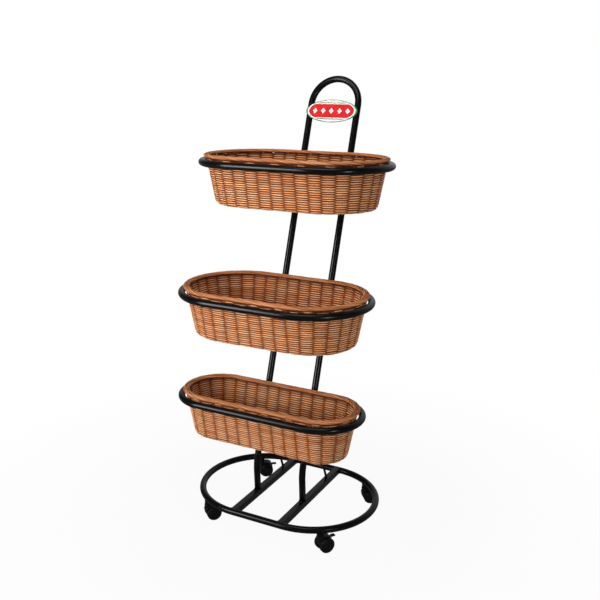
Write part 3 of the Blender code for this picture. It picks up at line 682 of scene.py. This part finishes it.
def loopPlace(s, oval, inset, height):
    # points and outward directions on a basket's oval, s in stake spacings anticlockwise from the front left
    half, along, around = oval["half"], oval["along"], oval["around"]
    s = np.mod(s, stakeTotal(oval))
    front = s < along
    right = (s >= along) & (s < along + around)
    back = (s >= along + around) & (s < 2 * along + around)
    angle = np.where(right, -math.pi / 2 + math.pi * (s - along) / around,
                     math.pi / 2 + math.pi * (s - 2 * along - around) / around)
    angle = np.where(front, -math.pi / 2, np.where(back, math.pi / 2, angle))
    run = np.where(front, -half + 2 * half * s / along, half - 2 * half * (s - along - around) / along)
    middle = np.where(front | back, run, np.where(right, half, -half))
    outX, outY = np.where(front | back, 0.0, np.cos(angle)), np.sin(angle)
    radius = oval["depth"] - inset
    points = np.stack(np.broadcast_arrays(middle + radius * outX, radius * outY, height), -1)
    return points + oval["ring"], outX, outY


def wallLengths():
    # the straight wall and the turn at its foot
    look = basketLook
    turnTop = look["turnHeight"] - look["turnRadius"] * math.sin(look["taper"])
    straight = (look["wallTop"] - turnTop) / math.cos(look["taper"])
    return straight, look["turnRadius"] * (math.pi / 2 - look["taper"])


def wallProfile(distance):
    # inset, height and outward direction of the wall's middle plane, down from the top row and over the floor
    look = basketLook
    taper, radius = look["taper"], look["turnRadius"]
    straight, turn = wallLengths()
    past = distance - straight
    angle = taper + min(max(past, 0.0), turn) / radius
    above, beyond = max(-past, 0.0), max(past - turn, 0.0)
    inset = look["turnInset"] - radius * math.cos(angle) - above * math.sin(taper) + beyond
    height = look["turnHeight"] - radius * math.sin(angle) + above * math.cos(taper)
    return inset, height, math.cos(angle), -math.sin(angle)


def wallRows():
    return int(sum(wallLengths()) / basketLook["rowPitch"])


def rodTints(rng, rows, columns):
    # every weaver is pieced from a few rods, each with its own tint
    tints = np.empty((rows, columns))
    for row in range(rows):
        ends = np.sort(rng.integers(0, columns, 3))
        values = rng.uniform(*weaveLook["tints"], 4)
        values[3] = values[0]
        tints[row] = values[np.searchsorted(ends, np.arange(columns), side="right")]
    return tints


def wander(rng, rows, s, total, size):
    # slow unevenness along each row, the same at both ends of the loop
    out = np.zeros((rows, len(s)))
    waves = (2, 3, 5, 9, 14)
    for cycles in waves:
        phase = rng.uniform(0, 2 * math.pi, (rows, 1))
        height = rng.normal(0, size / math.sqrt(len(waves)), (rows, 1))
        out += height * np.sin(2 * math.pi * cycles * s / total + phase)
    return out


def grainValues(run, turn):
    # how far along a rod a point is, and where round it
    return np.stack(np.broadcast_arrays(run[..., None], np.cos(turn), np.sin(turn)), -1).reshape(-1, 3)


def weave(name, oval, levels, seed, isFloor=False):
    # closed rows of weaver passing in front of and behind the stakes
    look = weaveLook
    rng = np.random.default_rng(seed)
    flat = look["floorShare"] if isFloor else 1.0
    total = stakeTotal(oval)
    rows, columns, sides = len(levels), total * look["samples"], look["sides"]
    s = np.arange(columns) / look["samples"]
    row = np.arange(rows)[:, None]
    inset, height, out, down = np.array(levels).T[:, :, None]
    swing = np.cos(math.pi * (s[None] + 0.5 + row))
    swell = np.abs(swing) ** look["swellPower"]
    swing = np.tanh(look["sharpness"] * swing) / math.tanh(look["sharpness"])
    offset = look["wave"] * flat * swing * (1 + look["unevenWave"] * wander(rng, rows, s, total, 1.0))
    lump = look["lump"] * np.sin(2 * math.pi * s / total * 3 + seed)
    lump = lump[None] + wander(rng, 1, s, total, look["unevenLump"])
    middle, outX, outY = loopPlace(np.broadcast_to(s, (rows, columns)), oval, inset, height)
    normal = np.stack(np.broadcast_arrays(out * outX, out * outY, down), -1)
    upward = np.stack(np.broadcast_arrays(-down * outX, -down * outY, out), -1)
    middle = middle + normal * (offset + lump * flat)[..., None]
    middle = middle + upward * wander(rng, rows, s, total, look["unevenRow"])[..., None]
    turn = fullTurn(sides) + math.pi / sides
    thin, thick = look["height"]
    tall = (thin + (thick - thin) * swell) * (1 + look["unevenHeight"] * wander(rng, rows, s, total, 1.0))
    points = (middle[:, :, None] + normal[:, :, None] * (look["depth"] * flat * np.cos(turn))[:, None]
              + upward[:, :, None] * tall[:, :, None, None] * np.sin(turn)[:, None])
    oneRow = gridFaces(columns, sides, True, flip=True)
    faces = (oneRow[None] + (np.arange(rows) * columns * sides)[:, None, None]).reshape(-1, 4)
    piece = makePiece(name, points.reshape(-1, 3), faces, wallFinish)

    tints = rodTints(rng, rows, columns)
    tints = tints + look["patchTint"] * np.sin(math.pi * s * 0.5 + seed) * np.sin(s * 0.9 + seed * 2)
    # painted highlight on each bulge and painted shade towards the crossings
    tints = tints + look["bulgeShading"] * (swell - look["bulgeShadingFrom"])
    addValues(piece, "tint", np.repeat(tints.ravel(), sides))
    # how far each point faces out of the weave, which sets the painted shade in the finish
    facing, passing = np.cos(turn), swing[:, :, None]
    exposure = facing * passing + look["crossingUnshaded"] * np.abs(facing) * (1 - passing ** 2)
    if not isFloor:
        # painted shade on the inner face of the top rows, under the border
        rimPaintedShade = look["rimPaintedShade"] * np.exp(-row / look["rimPaintedShadeRows"])
        exposure = exposure - rimPaintedShade[:, :, None] * np.clip(-facing, 0, 1)
    addValues(piece, "open", exposure.ravel())
    addValues(piece, "grain", grainValues(s[None] * look["grainStep"] + row * look["grainRow"], turn))
    # one strip of the map for each row
    corners = np.tile(stripMap(columns, sides, look["mapShare"], flip=True), (rows, 1, 1, 1, 1))
    corners[..., 1] = (corners[..., 1] + np.arange(rows)[:, None, None, None]) / rows
    addMap(piece, corners.reshape(-1, 2))
    return piece


def rodBundle(name, lines, references, radii, tints, opens, finish):
    # separate rods in one piece, each with as many points along it as the others
    rods, count, sides = len(lines), len(lines[0]), basketLook["rodSides"]
    turn = fullTurn(sides)
    faces = cappedFaces(count, sides)
    # in the map a rod is a strip with its two end discs beside it, and the rods stand side by side in lanes
    margin, capSize = 0.02, 0.3
    strip = stripMap(count - 1, sides, 0.92).reshape(-1, 2) * (1 - 2 * margin, 1) + (margin, 0)
    cap = np.stack([margin * (0.5 + capSize * np.cos(turn)), 0.5 + capSize * np.sin(turn)], -1)
    rodMap = np.concatenate([strip, cap[::-1], cap + (1 - margin, 0)])
    columns = max(1, round(math.sqrt(rods / 5)))
    lanes = math.ceil(rods / columns)
    parts, grains, corners = [], [], []
    for index, line in enumerate(lines):
        rings = sweepRings(line, radii[index], sides, references[index], False)
        parts.append((rings.reshape(-1, 3), faces))
        step = np.linalg.norm(np.diff(line, axis=0), axis=1)
        run = np.concatenate([[0], np.cumsum(step)]) + index * 1.37  # no two rods share their grain
        grains.append(grainValues(run, turn))
        corners.append((rodMap + (index % columns, index // columns)) / (columns, lanes))
    piece = makePiece(name, *joinParts(parts), finish)
    addValues(piece, "tint", np.repeat(tints, count * sides))
    # openness for the painted shade: the given value on the side the reference points to, and its negative on
    # the far side
    addValues(piece, "open", (np.array(opens)[:, :, None] * np.cos(turn)).ravel())
    addValues(piece, "grain", np.concatenate(grains))
    addMap(piece, np.concatenate(corners))
    return piece


borderLook = {
    "inset": 0.01577, "height": 0.0208,  # middle of the roll from the ring's centre line
    "halfWidth": 0.0084, "halfHeight": 0.0037,
    "rodRadius": 0.0019, "rodsPerStake": 2, "points": 60,
    "span": 4.9, "rise": 0.75,  # stake spacings that a rod runs, and climbs at first
    "riseFrom": (0.0180, 0.004), "startAngle": -62, "endAngle": 227,
    "twinLag": (0.20, 0.30),  # between a stake's two rods, and more on the roll
    "thinEnd": 0.35, "thinFrom": 0.7,
    "recess": ((0.0, 0.7, 1.2), (-0.1, 0.10, 1.0)),  # openness along a rod, with painted shade where it climbs
    "tints": (0.22, 0.88), "crowding": 1.15, "shift": 0.05, "lift": 1.6,
    "spreads": {"angle": 0.05, "swell": 0.02, "run": 0.03, "radius": 0.05},
    "core": (0.0052, 0.0055, 0.0182), "notch": 0.0022,  # half width, half height and middle of the core
    "coreSides": 12, "coreSteps": 8, "coreTint": 0.25, "coreOpen": -0.2,
}


def buildBorder(level, oval, seed):
    # every stake's rods lean over, climb the outside of the roll, cross its top and tuck in underneath
    look = borderLook
    rng = np.random.default_rng(seed)
    rise, span, spreads = look["rise"], look["span"], look["spreads"]
    fromInset, fromHeight = look["riseFrom"]
    travel = np.linspace(0, 1, look["points"]) ** look["crowding"] * span
    climb = np.clip(travel / rise, 0, 1)
    share = climb * climb * (3 - 2 * climb)
    wrapped = np.clip((travel - rise) / (span - rise), 0, 1)
    rollAngle = np.radians(look["startAngle"] + (look["endAngle"] - look["startAngle"]) * wrapped)
    firstLag, moreLag = look["twinLag"]
    lag = firstLag + moreLag * np.clip(travel - rise, 0, 1)
    nearEnd = np.clip((travel / span - look["thinFrom"]) / (1 - look["thinFrom"]), 0, 1)
    thinning = 1 - look["thinEnd"] * nearEnd
    lines, references, radii, tints = [], [], [], []
    for index in range(stakeTotal(oval) * look["rodsPerStake"]):
        stake, twin = divmod(index, look["rodsPerStake"])
        angle = rollAngle + rng.normal(0, spreads["angle"])
        swell = 1 + rng.normal(0, spreads["swell"])
        rollInset = look["inset"] - look["halfWidth"] * swell * np.cos(angle)
        rollHeight = look["height"] + look["halfHeight"] * swell * np.sin(angle)
        inset = fromInset * (1 - share) + rollInset * share
        height = fromHeight * (1 - climb) + rollHeight * climb
        s = stake + 0.5 - travel + twin * lag - look["shift"] + rng.normal(0, spreads["run"])
        points, outX, outY = loopPlace(s, oval, inset, height)
        lines.append(points)
        tiltOut = np.cos(angle) * share + (1 - share)
        tiltUp = np.sin(angle) * share * look["lift"] + 1e-4  # never quite without a direction
        references.append(np.stack([tiltOut * outX, tiltOut * outY, tiltUp], -1))
        radii.append(look["rodRadius"] * thinning * (1 + rng.normal(0, spreads["radius"])))
        tints.append(rng.uniform(*look["tints"]))
    opens = [np.interp(travel, *look["recess"])] * len(lines)
    return rodBundle("basket_%s_border_roll" % level, lines, references, radii, tints, opens, borderFinish)


def borderCore(level, oval):
    # the bundle of rod ends inside the roll, with small openings between the stakes, darkened with painted
    # shade as the shadow inside the roll
    look = borderLook
    wide, tall, middle = look["core"]
    s = np.arange(stakeTotal(oval) * look["coreSteps"]) / look["coreSteps"]
    turn = fullTurn(look["coreSides"])
    notch = look["notch"] * (0.5 + 0.5 * np.cos(2 * math.pi * s)) ** 2
    lines = []
    for angle in turn:
        height = middle + tall * math.sin(angle) - notch * min(0, math.sin(angle))
        lines.append(loopPlace(s, oval, look["inset"] - wide * math.cos(angle), height)[0])
    points = np.stack(lines, 1).reshape(-1, 3)
    faces = gridFaces(len(s), len(turn), True, flip=True)
    piece = makePiece("basket_%s_border_core" % level, points, faces, borderFinish)
    addValues(piece, "tint", np.full(len(points), look["coreTint"]))
    addValues(piece, "open", np.full(len(points), look["coreOpen"]))
    addValues(piece, "grain", grainValues(s * weaveLook["grainStep"], turn))
    return piece


def buildStakes(level, oval, seed):
    look = basketLook
    rng = np.random.default_rng(seed)
    total, above, below = stakeTotal(oval), *look["stakePast"]
    distances = np.linspace(-above, sum(wallLengths()) + below, look["stakePoints"])
    inset, height, out, down = np.array([wallProfile(distance) for distance in distances]).T
    lines, references, radii = [], [], []
    for stake in range(total):
        points, outX, outY = loopPlace(np.full(len(distances), stake + 0.5), oval, inset, height)
        lines.append(points)
        references.append(np.stack([out * outX, out * outY, down], -1))
        radii.append(look["stakeRadius"] * (1 + rng.normal(0, look["rodSpread"])))
    opens = [np.full(len(distances), look["stakeOpen"])] * total
    tints = rng.uniform(*look["stakeTints"], total)
    return rodBundle("basket_%s_stakes" % level, lines, references, radii, tints, opens, wallFinish)


def baseWeave(level, oval, seed):
    # the same weave carried in over the floor, over fewer spokes as the ends close in
    look = basketLook
    reach = oval["depth"] - look["turnInset"]
    levels, row = [], wallRows() + 1
    while oval["depth"] - wallProfile(row * look["rowPitch"])[0] >= look["floorHole"]:
        levels.append(wallProfile(row * look["rowPitch"]))
        row += 1
    made = []
    for low, high, thinned in look["floorZones"]:
        zone = [profile for profile in levels if low * reach < oval["depth"] - profile[0] <= high * reach]
        if zone:
            zoneOval = dict(oval, around=max(2, oval["around"] // thinned))
            name = "basket_%s_base_weave_%d" % (level, len(made) + 1)
            made.append(weave(name, zoneOval, zone, seed + len(made), isFloor=True))
    return made


stickLook = {"radius": 0.0021, "points": 24, "past": 0.006,  # beyond the turn at the wall's foot
             "starts": (0.03, 0.5),  # of every other stick at the ends
             "spineRods": 5, "spineGap": 0.0042, "spineWave": 0.0012,
             # openness for the painted shade on the floor sticks and the spine rods
             "tints": (0.15, 0.55), "stickOpen": 0.2, "spineOpen": 0.8}


def baseSpokes(level, oval, seed):
    # floor sticks: straight across the middle, and meeting at the middle of each end
    look = stickLook
    rng = np.random.default_rng(seed)
    half, along, around, count = oval["half"], oval["along"], oval["around"], look["points"]
    outer = oval["depth"] - basketLook["turnInset"] + look["past"]
    flat = np.zeros(count)
    lines = []
    for stick in range(along):
        x = -half + 2 * half * (stick + 0.5) / along
        lines.append(np.stack([np.full(count, x), np.linspace(-outer, outer, count), flat], -1))
    for side in (-1, 1):
        for stick in range(around):
            angle = math.pi * (stick + 0.5) / around - math.pi / 2
            reach = np.linspace(outer * look["starts"][stick % 2], outer, count)
            x = side * (half + reach * math.cos(angle))
            lines.append(np.stack([x, reach * math.sin(angle), flat], -1))
    sticks = len(lines)
    # the slot left in the middle is closed by rods that pass over and under the sticks
    spine = np.linspace(-half - look["past"], half + look["past"], count)
    weaving = look["spineWave"] * np.sin(math.pi * (spine + half) * along / (2 * half))
    for index in range(look["spineRods"]):
        rod = index - look["spineRods"] // 2
        lines.append(np.stack([spine, np.full(count, rod * look["spineGap"]), weaving * (-1) ** rod], -1))
    floorHeight = basketLook["turnHeight"] - basketLook["turnRadius"]
    lines = np.array(lines) + oval["ring"] + np.array((0, 0, floorHeight))
    references = [(0.0, 0.0, 1.0)] * len(lines)
    radii = [look["radius"] * (1 + rng.normal(0, basketLook["rodSpread"])) for line in lines]
    opens = [np.full(count, look["stickOpen"] if index < sticks else look["spineOpen"])
             for index in range(len(lines))]
    tints = rng.uniform(*look["tints"], len(lines))
    return rodBundle("basket_%s_floor_sticks" % level, lines, references, radii, tints, opens, wallFinish)


def buildBasket(level, seed):
    ring, half, depth = ovalOf("basket_ring_" + level)
    along, around = stakeCounts[level]
    oval = {"ring": ring, "half": half, "depth": depth, "along": along, "around": around}
    rows = wallRows() + 1
    levels = [wallProfile(index * basketLook["rowPitch"]) for index in range(rows)]
    body = "basket_" + level
    wall = weave("basket_%s_wall_weave" % level, oval, levels, seed)
    place(wall, body, "honey_wicker", "basket_%s_wall" % level)
    place(buildStakes(level, oval, seed + 20), body, "honey_wicker")
    floors = baseWeave(level, oval, seed + 30)
    for piece in floors:
        place(piece, body, "honey_wicker")
    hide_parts("basket_%s_base" % level)
    place(baseSpokes(level, oval, seed + 40), body, "honey_wicker")
    roll = buildBorder(level, oval, seed + 50)
    place(roll, body, "tan_wicker", "basket_%s_border" % level)
    place(borderCore(level, oval), body, "tan_wicker")
    print("basket", level, "woven:", rows, "rows over", stakeTotal(oval), "stakes")


for number, level in enumerate(stakeCounts):
    buildBasket(level, 101 + 7 * number)


# casters

casterLook = {
    "wheelRadius": 0.025, "wheelSpacing": 0.013, "trail": 0.0165,
    # one wheel's radius and distance out, from its inner face over the tread to the grooved outer face
    "wheel": [(0.010, 0.0003), (0.0222, 0.0), (0.0239, 0.0006), (0.0247, 0.0017), (0.0250, 0.0032),
              (0.0250, 0.0122), (0.0248, 0.0139), (0.0242, 0.0154), (0.0231, 0.0166), (0.0215, 0.0176),
              (0.0200, 0.0182), (0.0195, 0.0179), (0.0189, 0.0179), (0.0184, 0.0185), (0.0160, 0.0191),
              (0.0125, 0.0196), (0.0085, 0.0199), (0.0079, 0.0196), (0.0073, 0.0196), (0.0067, 0.0200)],
    "collar": [(0.0100, 0.0601), (0.0108, 0.0605), (0.0110, 0.0612), (0.0110, 0.0680)],
    "wheelSteps": 72, "collarSteps": 48, "sharpDegrees": 50,
}
hoodLook = {
    "width": 0.030, "outer": 0.0289, "inner": 0.0262, "arc": (50, 165), "webHalf": 0.0058,
    "hubRadius": 0.008, "hubArc": (198, 351), "wellDepth": 0.030,
    "arcSteps": 40, "hubSteps": 16, "bossSteps": 64, "wellSteps": 96,
    "bosses": ((0.0500, 0.0595, 0.011), (0.0480, 0.0545, 0.0122)),  # foot, top and radius
    "slotMiddle": (0, 0.0363, 0.0435), "slotSize": (0.0066, 0.029, 0.0092),  # room for the brake lever
    "voxel": 0.00055, "softening": 3,
}
brakeLook = {
    "eyeRadius": 0.0032, "eyeArc": (40, 320), "eyeSteps": 20,
    "neckEnd": 0.0140, "neckHalf": 0.0013, "neckWidth": 0.0056, "cornerSteps": 6,
    "tab": (0.0120, 0.0280), "tabHalf": 0.0070, "tabCorner": 0.0032, "tabLevels": (-0.0014, 0.0010),
    "ribs": 4, "ribStart": 0.0172, "ribPitch": 0.0026, "ribSize": (0.0106, 0.0011, 0.0010),
    "voxel": 0.00032, "softening": 2,
}


def solidForm(name, build):
    shell = bmesh.new()
    build(shell)
    mesh = bpy.data.meshes.new(name)
    shell.to_mesh(mesh)
    shell.free()
    return linked(name, mesh)


def addRemesh(source, voxel):
    remesh = source.modifiers.new("fuse", "REMESH")
    remesh.mode = "VOXEL"
    remesh.voxel_size = voxel


def fused(source, look):
    # several closed shells fused and softened into one moulding
    addRemesh(source, look["voxel"])
    soften = source.modifiers.new("soften", "SMOOTH")
    soften.factor = 0.5
    soften.iterations = look["softening"]
    bpy.context.view_layer.update()
    mesh = bpy.data.meshes.new_from_object(source.evaluated_get(bpy.context.evaluated_depsgraph_get()))
    bpy.data.objects.remove(source, do_unlink=True)
    mesh.shade_smooth()
    return mesh


def addPrism(shell, first, second):
    # a solid between two outlines with the same number of points
    first, second = ([shell.verts.new(point) for point in outline] for outline in (first, second))
    shell.faces.new(first[::-1])
    shell.faces.new(second)
    for index in range(len(first)):
        after = (index + 1) % len(first)
        shell.faces.new((first[index], first[after], second[after], second[index]))


def addAcross(shell, outline, half):
    # an outline of (y, z) points carried across X
    addPrism(shell, [(-half, y, z) for y, z in outline], [(half, y, z) for y, z in outline])


def addDrum(shell, radius, depth, matrix, segments):
    bmesh.ops.create_cone(shell, cap_ends=True, segments=segments, radius1=radius, radius2=radius,
                          depth=depth, matrix=matrix)


def addBlock(shell, middle, size):
    bmesh.ops.create_cube(shell, size=1, matrix=Matrix.Translation(middle) @ Matrix.Diagonal((*size, 1)))


def aboutAxle(radius, degrees):
    back, up = casterLook["trail"], casterLook["wheelRadius"]
    return [(back + radius * math.cos(angle), up + radius * math.sin(angle))
            for angle in np.radians(degrees)]


def hoodMesh(braked):
    look = hoodLook
    arc = np.linspace(*look["arc"], look["arcSteps"])

    def shells(shell):
        top = aboutAxle(look["outer"], arc)
        hub = aboutAxle(look["hubRadius"], np.linspace(*look["hubArc"], look["hubSteps"]))
        addAcross(shell, top + hub, look["webHalf"])
        addAcross(shell, top + aboutAxle(look["inner"], arc[::-1]), look["width"] / 2)
        for foot, head, radius in look["bosses"]:
            middle = Matrix.Translation((0, 0, (head + foot) / 2))
            addDrum(shell, radius, head - foot, middle, look["bossSteps"])
        bmesh.ops.recalc_face_normals(shell, faces=shell.faces)

    def well(side):
        x = side * (look["webHalf"] + look["wellDepth"] / 2)
        middle = Matrix.Translation((x, casterLook["trail"], casterLook["wheelRadius"]))
        matrix = middle @ Matrix.Rotation(math.pi / 2, 4, "Y")
        return lambda shell: addDrum(shell, look["inner"], look["wellDepth"], matrix, look["wellSteps"])

    def slot(shell):
        addBlock(shell, look["slotMiddle"], look["slotSize"])

    source = solidForm("hood_form", shells)
    addRemesh(source, look["voxel"])
    cutters = [solidForm("wheel_well", well(side)) for side in (-1, 1)]
    if braked:
        cutters.append(solidForm("brake_slot", slot))
    for cutter in cutters:
        cut = source.modifiers.new(cutter.name, "BOOLEAN")
        cut.operation = "DIFFERENCE"
        cut.object = cutter
    mesh = fused(source, look)
    for cutter in cutters:
        bpy.data.objects.remove(cutter, do_unlink=True)
    return mesh


def brakeMesh():
    # round eye, neck and a ribbed foot tab, with the pivot at the origin
    look = brakeLook

    def shells(shell):
        eye = [(look["eyeRadius"] * math.cos(angle), look["eyeRadius"] * math.sin(angle))
               for angle in np.radians(np.linspace(*look["eyeArc"], look["eyeSteps"]))]
        neck = [(look["neckEnd"], -look["neckHalf"]), (look["neckEnd"], look["neckHalf"])]
        addAcross(shell, eye + neck, look["neckWidth"] / 2)
        (low, high), half, corner = look["tab"], look["tabHalf"] - look["tabCorner"], look["tabCorner"]
        outline = []
        for x, y, start in ((half, low + corner, -90), (half, high - corner, 0),
                            (-half, high - corner, 90), (-half, low + corner, 180)):
            for angle in np.radians(np.linspace(start, start + 90, look["cornerSteps"] + 1)):
                outline.append((x + corner * math.cos(angle), y + corner * math.sin(angle)))
        under, over = look["tabLevels"]
        addPrism(shell, [(x, y, under) for x, y in outline], [(x, y, over) for x, y in outline])
        for rib in range(look["ribs"]):
            addBlock(shell, (0, look["ribStart"] + rib * look["ribPitch"], over), look["ribSize"])
        bmesh.ops.recalc_face_normals(shell, faces=shell.faces)

    return fused(solidForm("brake_form", shells), look)


def carriedPiece(name, mesh, matrix, body, node):
    own = mesh.copy()
    own.transform(matrix)
    own.materials.clear()
    own.materials.append(nylon)
    return place(linked(name, own), body, "black_nylon", node)


def buildCaster(label, hoods, lever):
    look = casterLook
    swivel = Vector(joints["swivel_" + label]["pos_m"])
    spin = joints["spin_%s_left" % label]
    axle, across = Vector(spin["pos_m"]), Vector(spin["axis"]).normalized()
    back = Vector((axle.x - swivel.x, axle.y - swivel.y, 0)).normalized()
    turn = Matrix((across, back, Vector((0, 0, 1)))).transposed().to_4x4()
    stand = Matrix.Translation((swivel.x, swivel.y, 0)) @ turn
    braked = "brake_press_" + label in joints
    carriedPiece("caster_%s_hood" % label, hoods[braked], stand, "caster_" + label, "caster_hood_" + label)
    wheelPoints, wheelFaces = turnedPart(look["wheel"], look["wheelSteps"])
    for side, hand in ((-1, "left"), (1, "right")):
        spot = Matrix.Translation((side * look["wheelSpacing"] / 2, look["trail"], look["wheelRadius"]))
        matrix = np.array(stand @ spot @ Matrix.Rotation(side * math.pi / 2, 4, "Y"))
        points = wheelPoints @ matrix[:3, :3].T + matrix[:3, 3]
        name = "caster_%s_wheel_%s" % (label, hand)
        wheel = makePiece(name, points, wheelFaces, nylon, look["sharpDegrees"])
        place(wheel, "wheel_%s_%s" % (label, hand), "black_nylon", "caster_wheel_%s_%s" % (label, hand))
    if braked:
        pivot = Matrix.Translation(joints["brake_press_" + label]["pos_m"]) @ turn
        carriedPiece("caster_%s_brake" % label, lever, pivot, "brake_" + label, "brake_lever_" + label)
        refinish("brake_pin_" + label, zinc)
    collarPoints, collarFaces = turnedPart(look["collar"], look["collarSteps"])
    collarPoints = collarPoints + np.array((swivel.x, swivel.y, 0))
    collar = makePiece("caster_%s_collar" % label, collarPoints, collarFaces, coat, look["sharpDegrees"])
    place(collar, "frame", "black_powder_coat", "caster_socket_" + label)
    refinish("caster_stem_" + label, zinc)
    refinish("caster_axle_" + label, zinc)


hoods = {False: hoodMesh(False), True: hoodMesh(True)}
lever = brakeMesh()
for label in ("front_left", "front_right", "rear_left", "rear_right"):
    buildCaster(label, hoods, lever)
print("casters ready")


# stage, light and camera

stageLook = {
    "ambient": (0.88, 0.34), "zenith": 0.40,  # the room before and behind the rack, and its ceiling
    "ambientFrom": (-0.8, 0.8), "zenithFrom": (0.15, 0.80), "backdropFrom": (0.30, 0.95),
    "floorHalf": 60, "floorDrop": 0.0004,
    "floorColour": (0.60, 0.60, 0.60, 1), "floorRoughness": 0.8, "floorShine": 0.1,
    "floorGlow": (0.94, 1.0), "floorFade": (0.5, 1.4),  # share of plain white near the rack and far from it
    "floorGloss": 0.15, "roomGloss": (0.05, 0.55),  # floor, dim room and backdrop as the gloss shows them
    "lamps": {  # place, aim, size, power and spread
        "key": ((-1.15, -1.75, 1.30), (0, -0.1, 0.95), (0.75, 1.5), 7.3, 75),
        "fill": ((1.9, -1.35, 1.0), (0, -0.1, 0.95), (0.30, 0.9), 1.15, 60),
        "top": ((0.0, -0.9, 3.0), (0, -0.05, 0.72), (1.8, 1.2), 17.0, 180),
    },
}
cameraLook = {"place": (1.174, -2.207, 1.4185), "around": 0.4809, "down": 0.2644, "roll": 0.0064,
              "lens": 47.76, "sensor": 36.0}


def mixShader(tree, share, first, second):
    return addNode(tree, "MixShader", {0: share, 1: first, 2: second}).outputs[0]


def buildFloor():
    # pale and matt for the rack's own light, close to plain white for the view
    half = stageLook["floorHalf"]
    mesh = bpy.data.meshes.new("floor")
    corners = [(-half, -half, 0), (half, -half, 0), (half, half, 0), (-half, half, 0)]
    mesh.from_pydata(corners, [], [(0, 1, 2, 3)])
    floor = linked("floor", mesh)
    floor.location.z = -stageLook["floorDrop"]
    material, tree, shader = newFinish("pale_floor")
    dress(tree, shader, stageLook["floorColour"], stageLook["floorRoughness"], stageLook["floorShine"])
    rays = addNode(tree, "LightPath").outputs
    local = addNode(tree, "TexCoord").outputs["Object"]
    away = addNode(tree, "VectorMath", {0: local}, operation="LENGTH").outputs["Value"]
    white = spread(tree, away, *stageLook["floorFade"], *stageLook["floorGlow"])
    seen = maths(tree, "MULTIPLY", rays["Is Camera Ray"], white)
    mirrored = maths(tree, "MAXIMUM", rays["Is Glossy Ray"], rays["Is Transmission Ray"])
    strength = spread(tree, mirrored, 0, 1, 1.0, stageLook["floorGloss"])
    glow = addNode(tree, "Emission", {"Strength": strength}).outputs[0]
    shown = maths(tree, "MAXIMUM", mirrored, seen)
    surface = mixShader(tree, shown, shader.outputs[0], glow)
    feed(tree, tree.nodes["Material Output"].inputs["Surface"], surface)
    mesh.materials.append(material)


def buildRoom():
    # the white backdrop stands behind the rack and the room in front of it is dim
    world = bpy.data.worlds.new("studio")
    bpy.context.scene.world = world
    world.use_nodes = True
    tree = world.node_tree
    rays = addNode(tree, "LightPath").outputs
    facing = addNode(tree, "TexCoord").outputs["Generated"]
    axes = addNode(tree, "SeparateXYZ", {0: facing}).outputs
    around = spread(tree, axes["Y"], *stageLook["ambientFrom"], *stageLook["ambient"])
    over = spread(tree, axes["Z"], *stageLook["zenithFrom"], 1.0, stageLook["zenith"])
    lit = tree.nodes["Background"]
    feed(tree, lit.inputs["Color"], (1, 1, 1, 1))
    feed(tree, lit.inputs["Strength"], maths(tree, "MULTIPLY", around, over))
    shown = lit.outputs[0]
    behind = spread(tree, axes["Y"], *stageLook["backdropFrom"], *stageLook["roomGloss"])
    for strength, kind in ((behind, "Is Glossy Ray"), (1.0, "Is Transmission Ray"), (1.0, "Is Camera Ray")):
        backdrop = addNode(tree, "Background", {"Color": (1, 1, 1, 1), "Strength": strength}).outputs[0]
        shown = mixShader(tree, rays[kind], shown, backdrop)
    feed(tree, tree.nodes["World Output"].inputs["Surface"], shown)


def addLamp(name, spot, aim, size, power, beam):
    data = bpy.data.lights.new(name, "AREA")
    data.spread = math.radians(beam)
    data.shape = "RECTANGLE"
    data.size, data.size_y = size
    data.energy = power
    lamp = linked(name, data)
    lamp.location = spot
    lamp.rotation_euler = (Vector(aim) - Vector(spot)).to_track_quat("-Z", "Y").to_euler()
    lamp.visible_camera = False


def buildCamera():
    data = bpy.data.cameras.new("view")
    data.lens = cameraLook["lens"]
    data.sensor_width = cameraLook["sensor"]
    camera = linked("view", data)
    turns = ((cameraLook["around"], "Z"), (math.pi / 2 - cameraLook["down"], "X"), (cameraLook["roll"], "Z"))
    turned = Matrix.Identity(4)
    for angle, axis in turns:
        turned = turned @ Matrix.Rotation(angle, 4, axis)
    camera.matrix_world = Matrix.Translation(cameraLook["place"]) @ turned
    bpy.context.scene.camera = camera


bpy.context.scene.view_settings.view_transform = "Standard"
buildFloor()
buildRoom()
for name, lamp in stageLook["lamps"].items():
    addLamp(name, *lamp)
buildCamera()
print("stage ready")
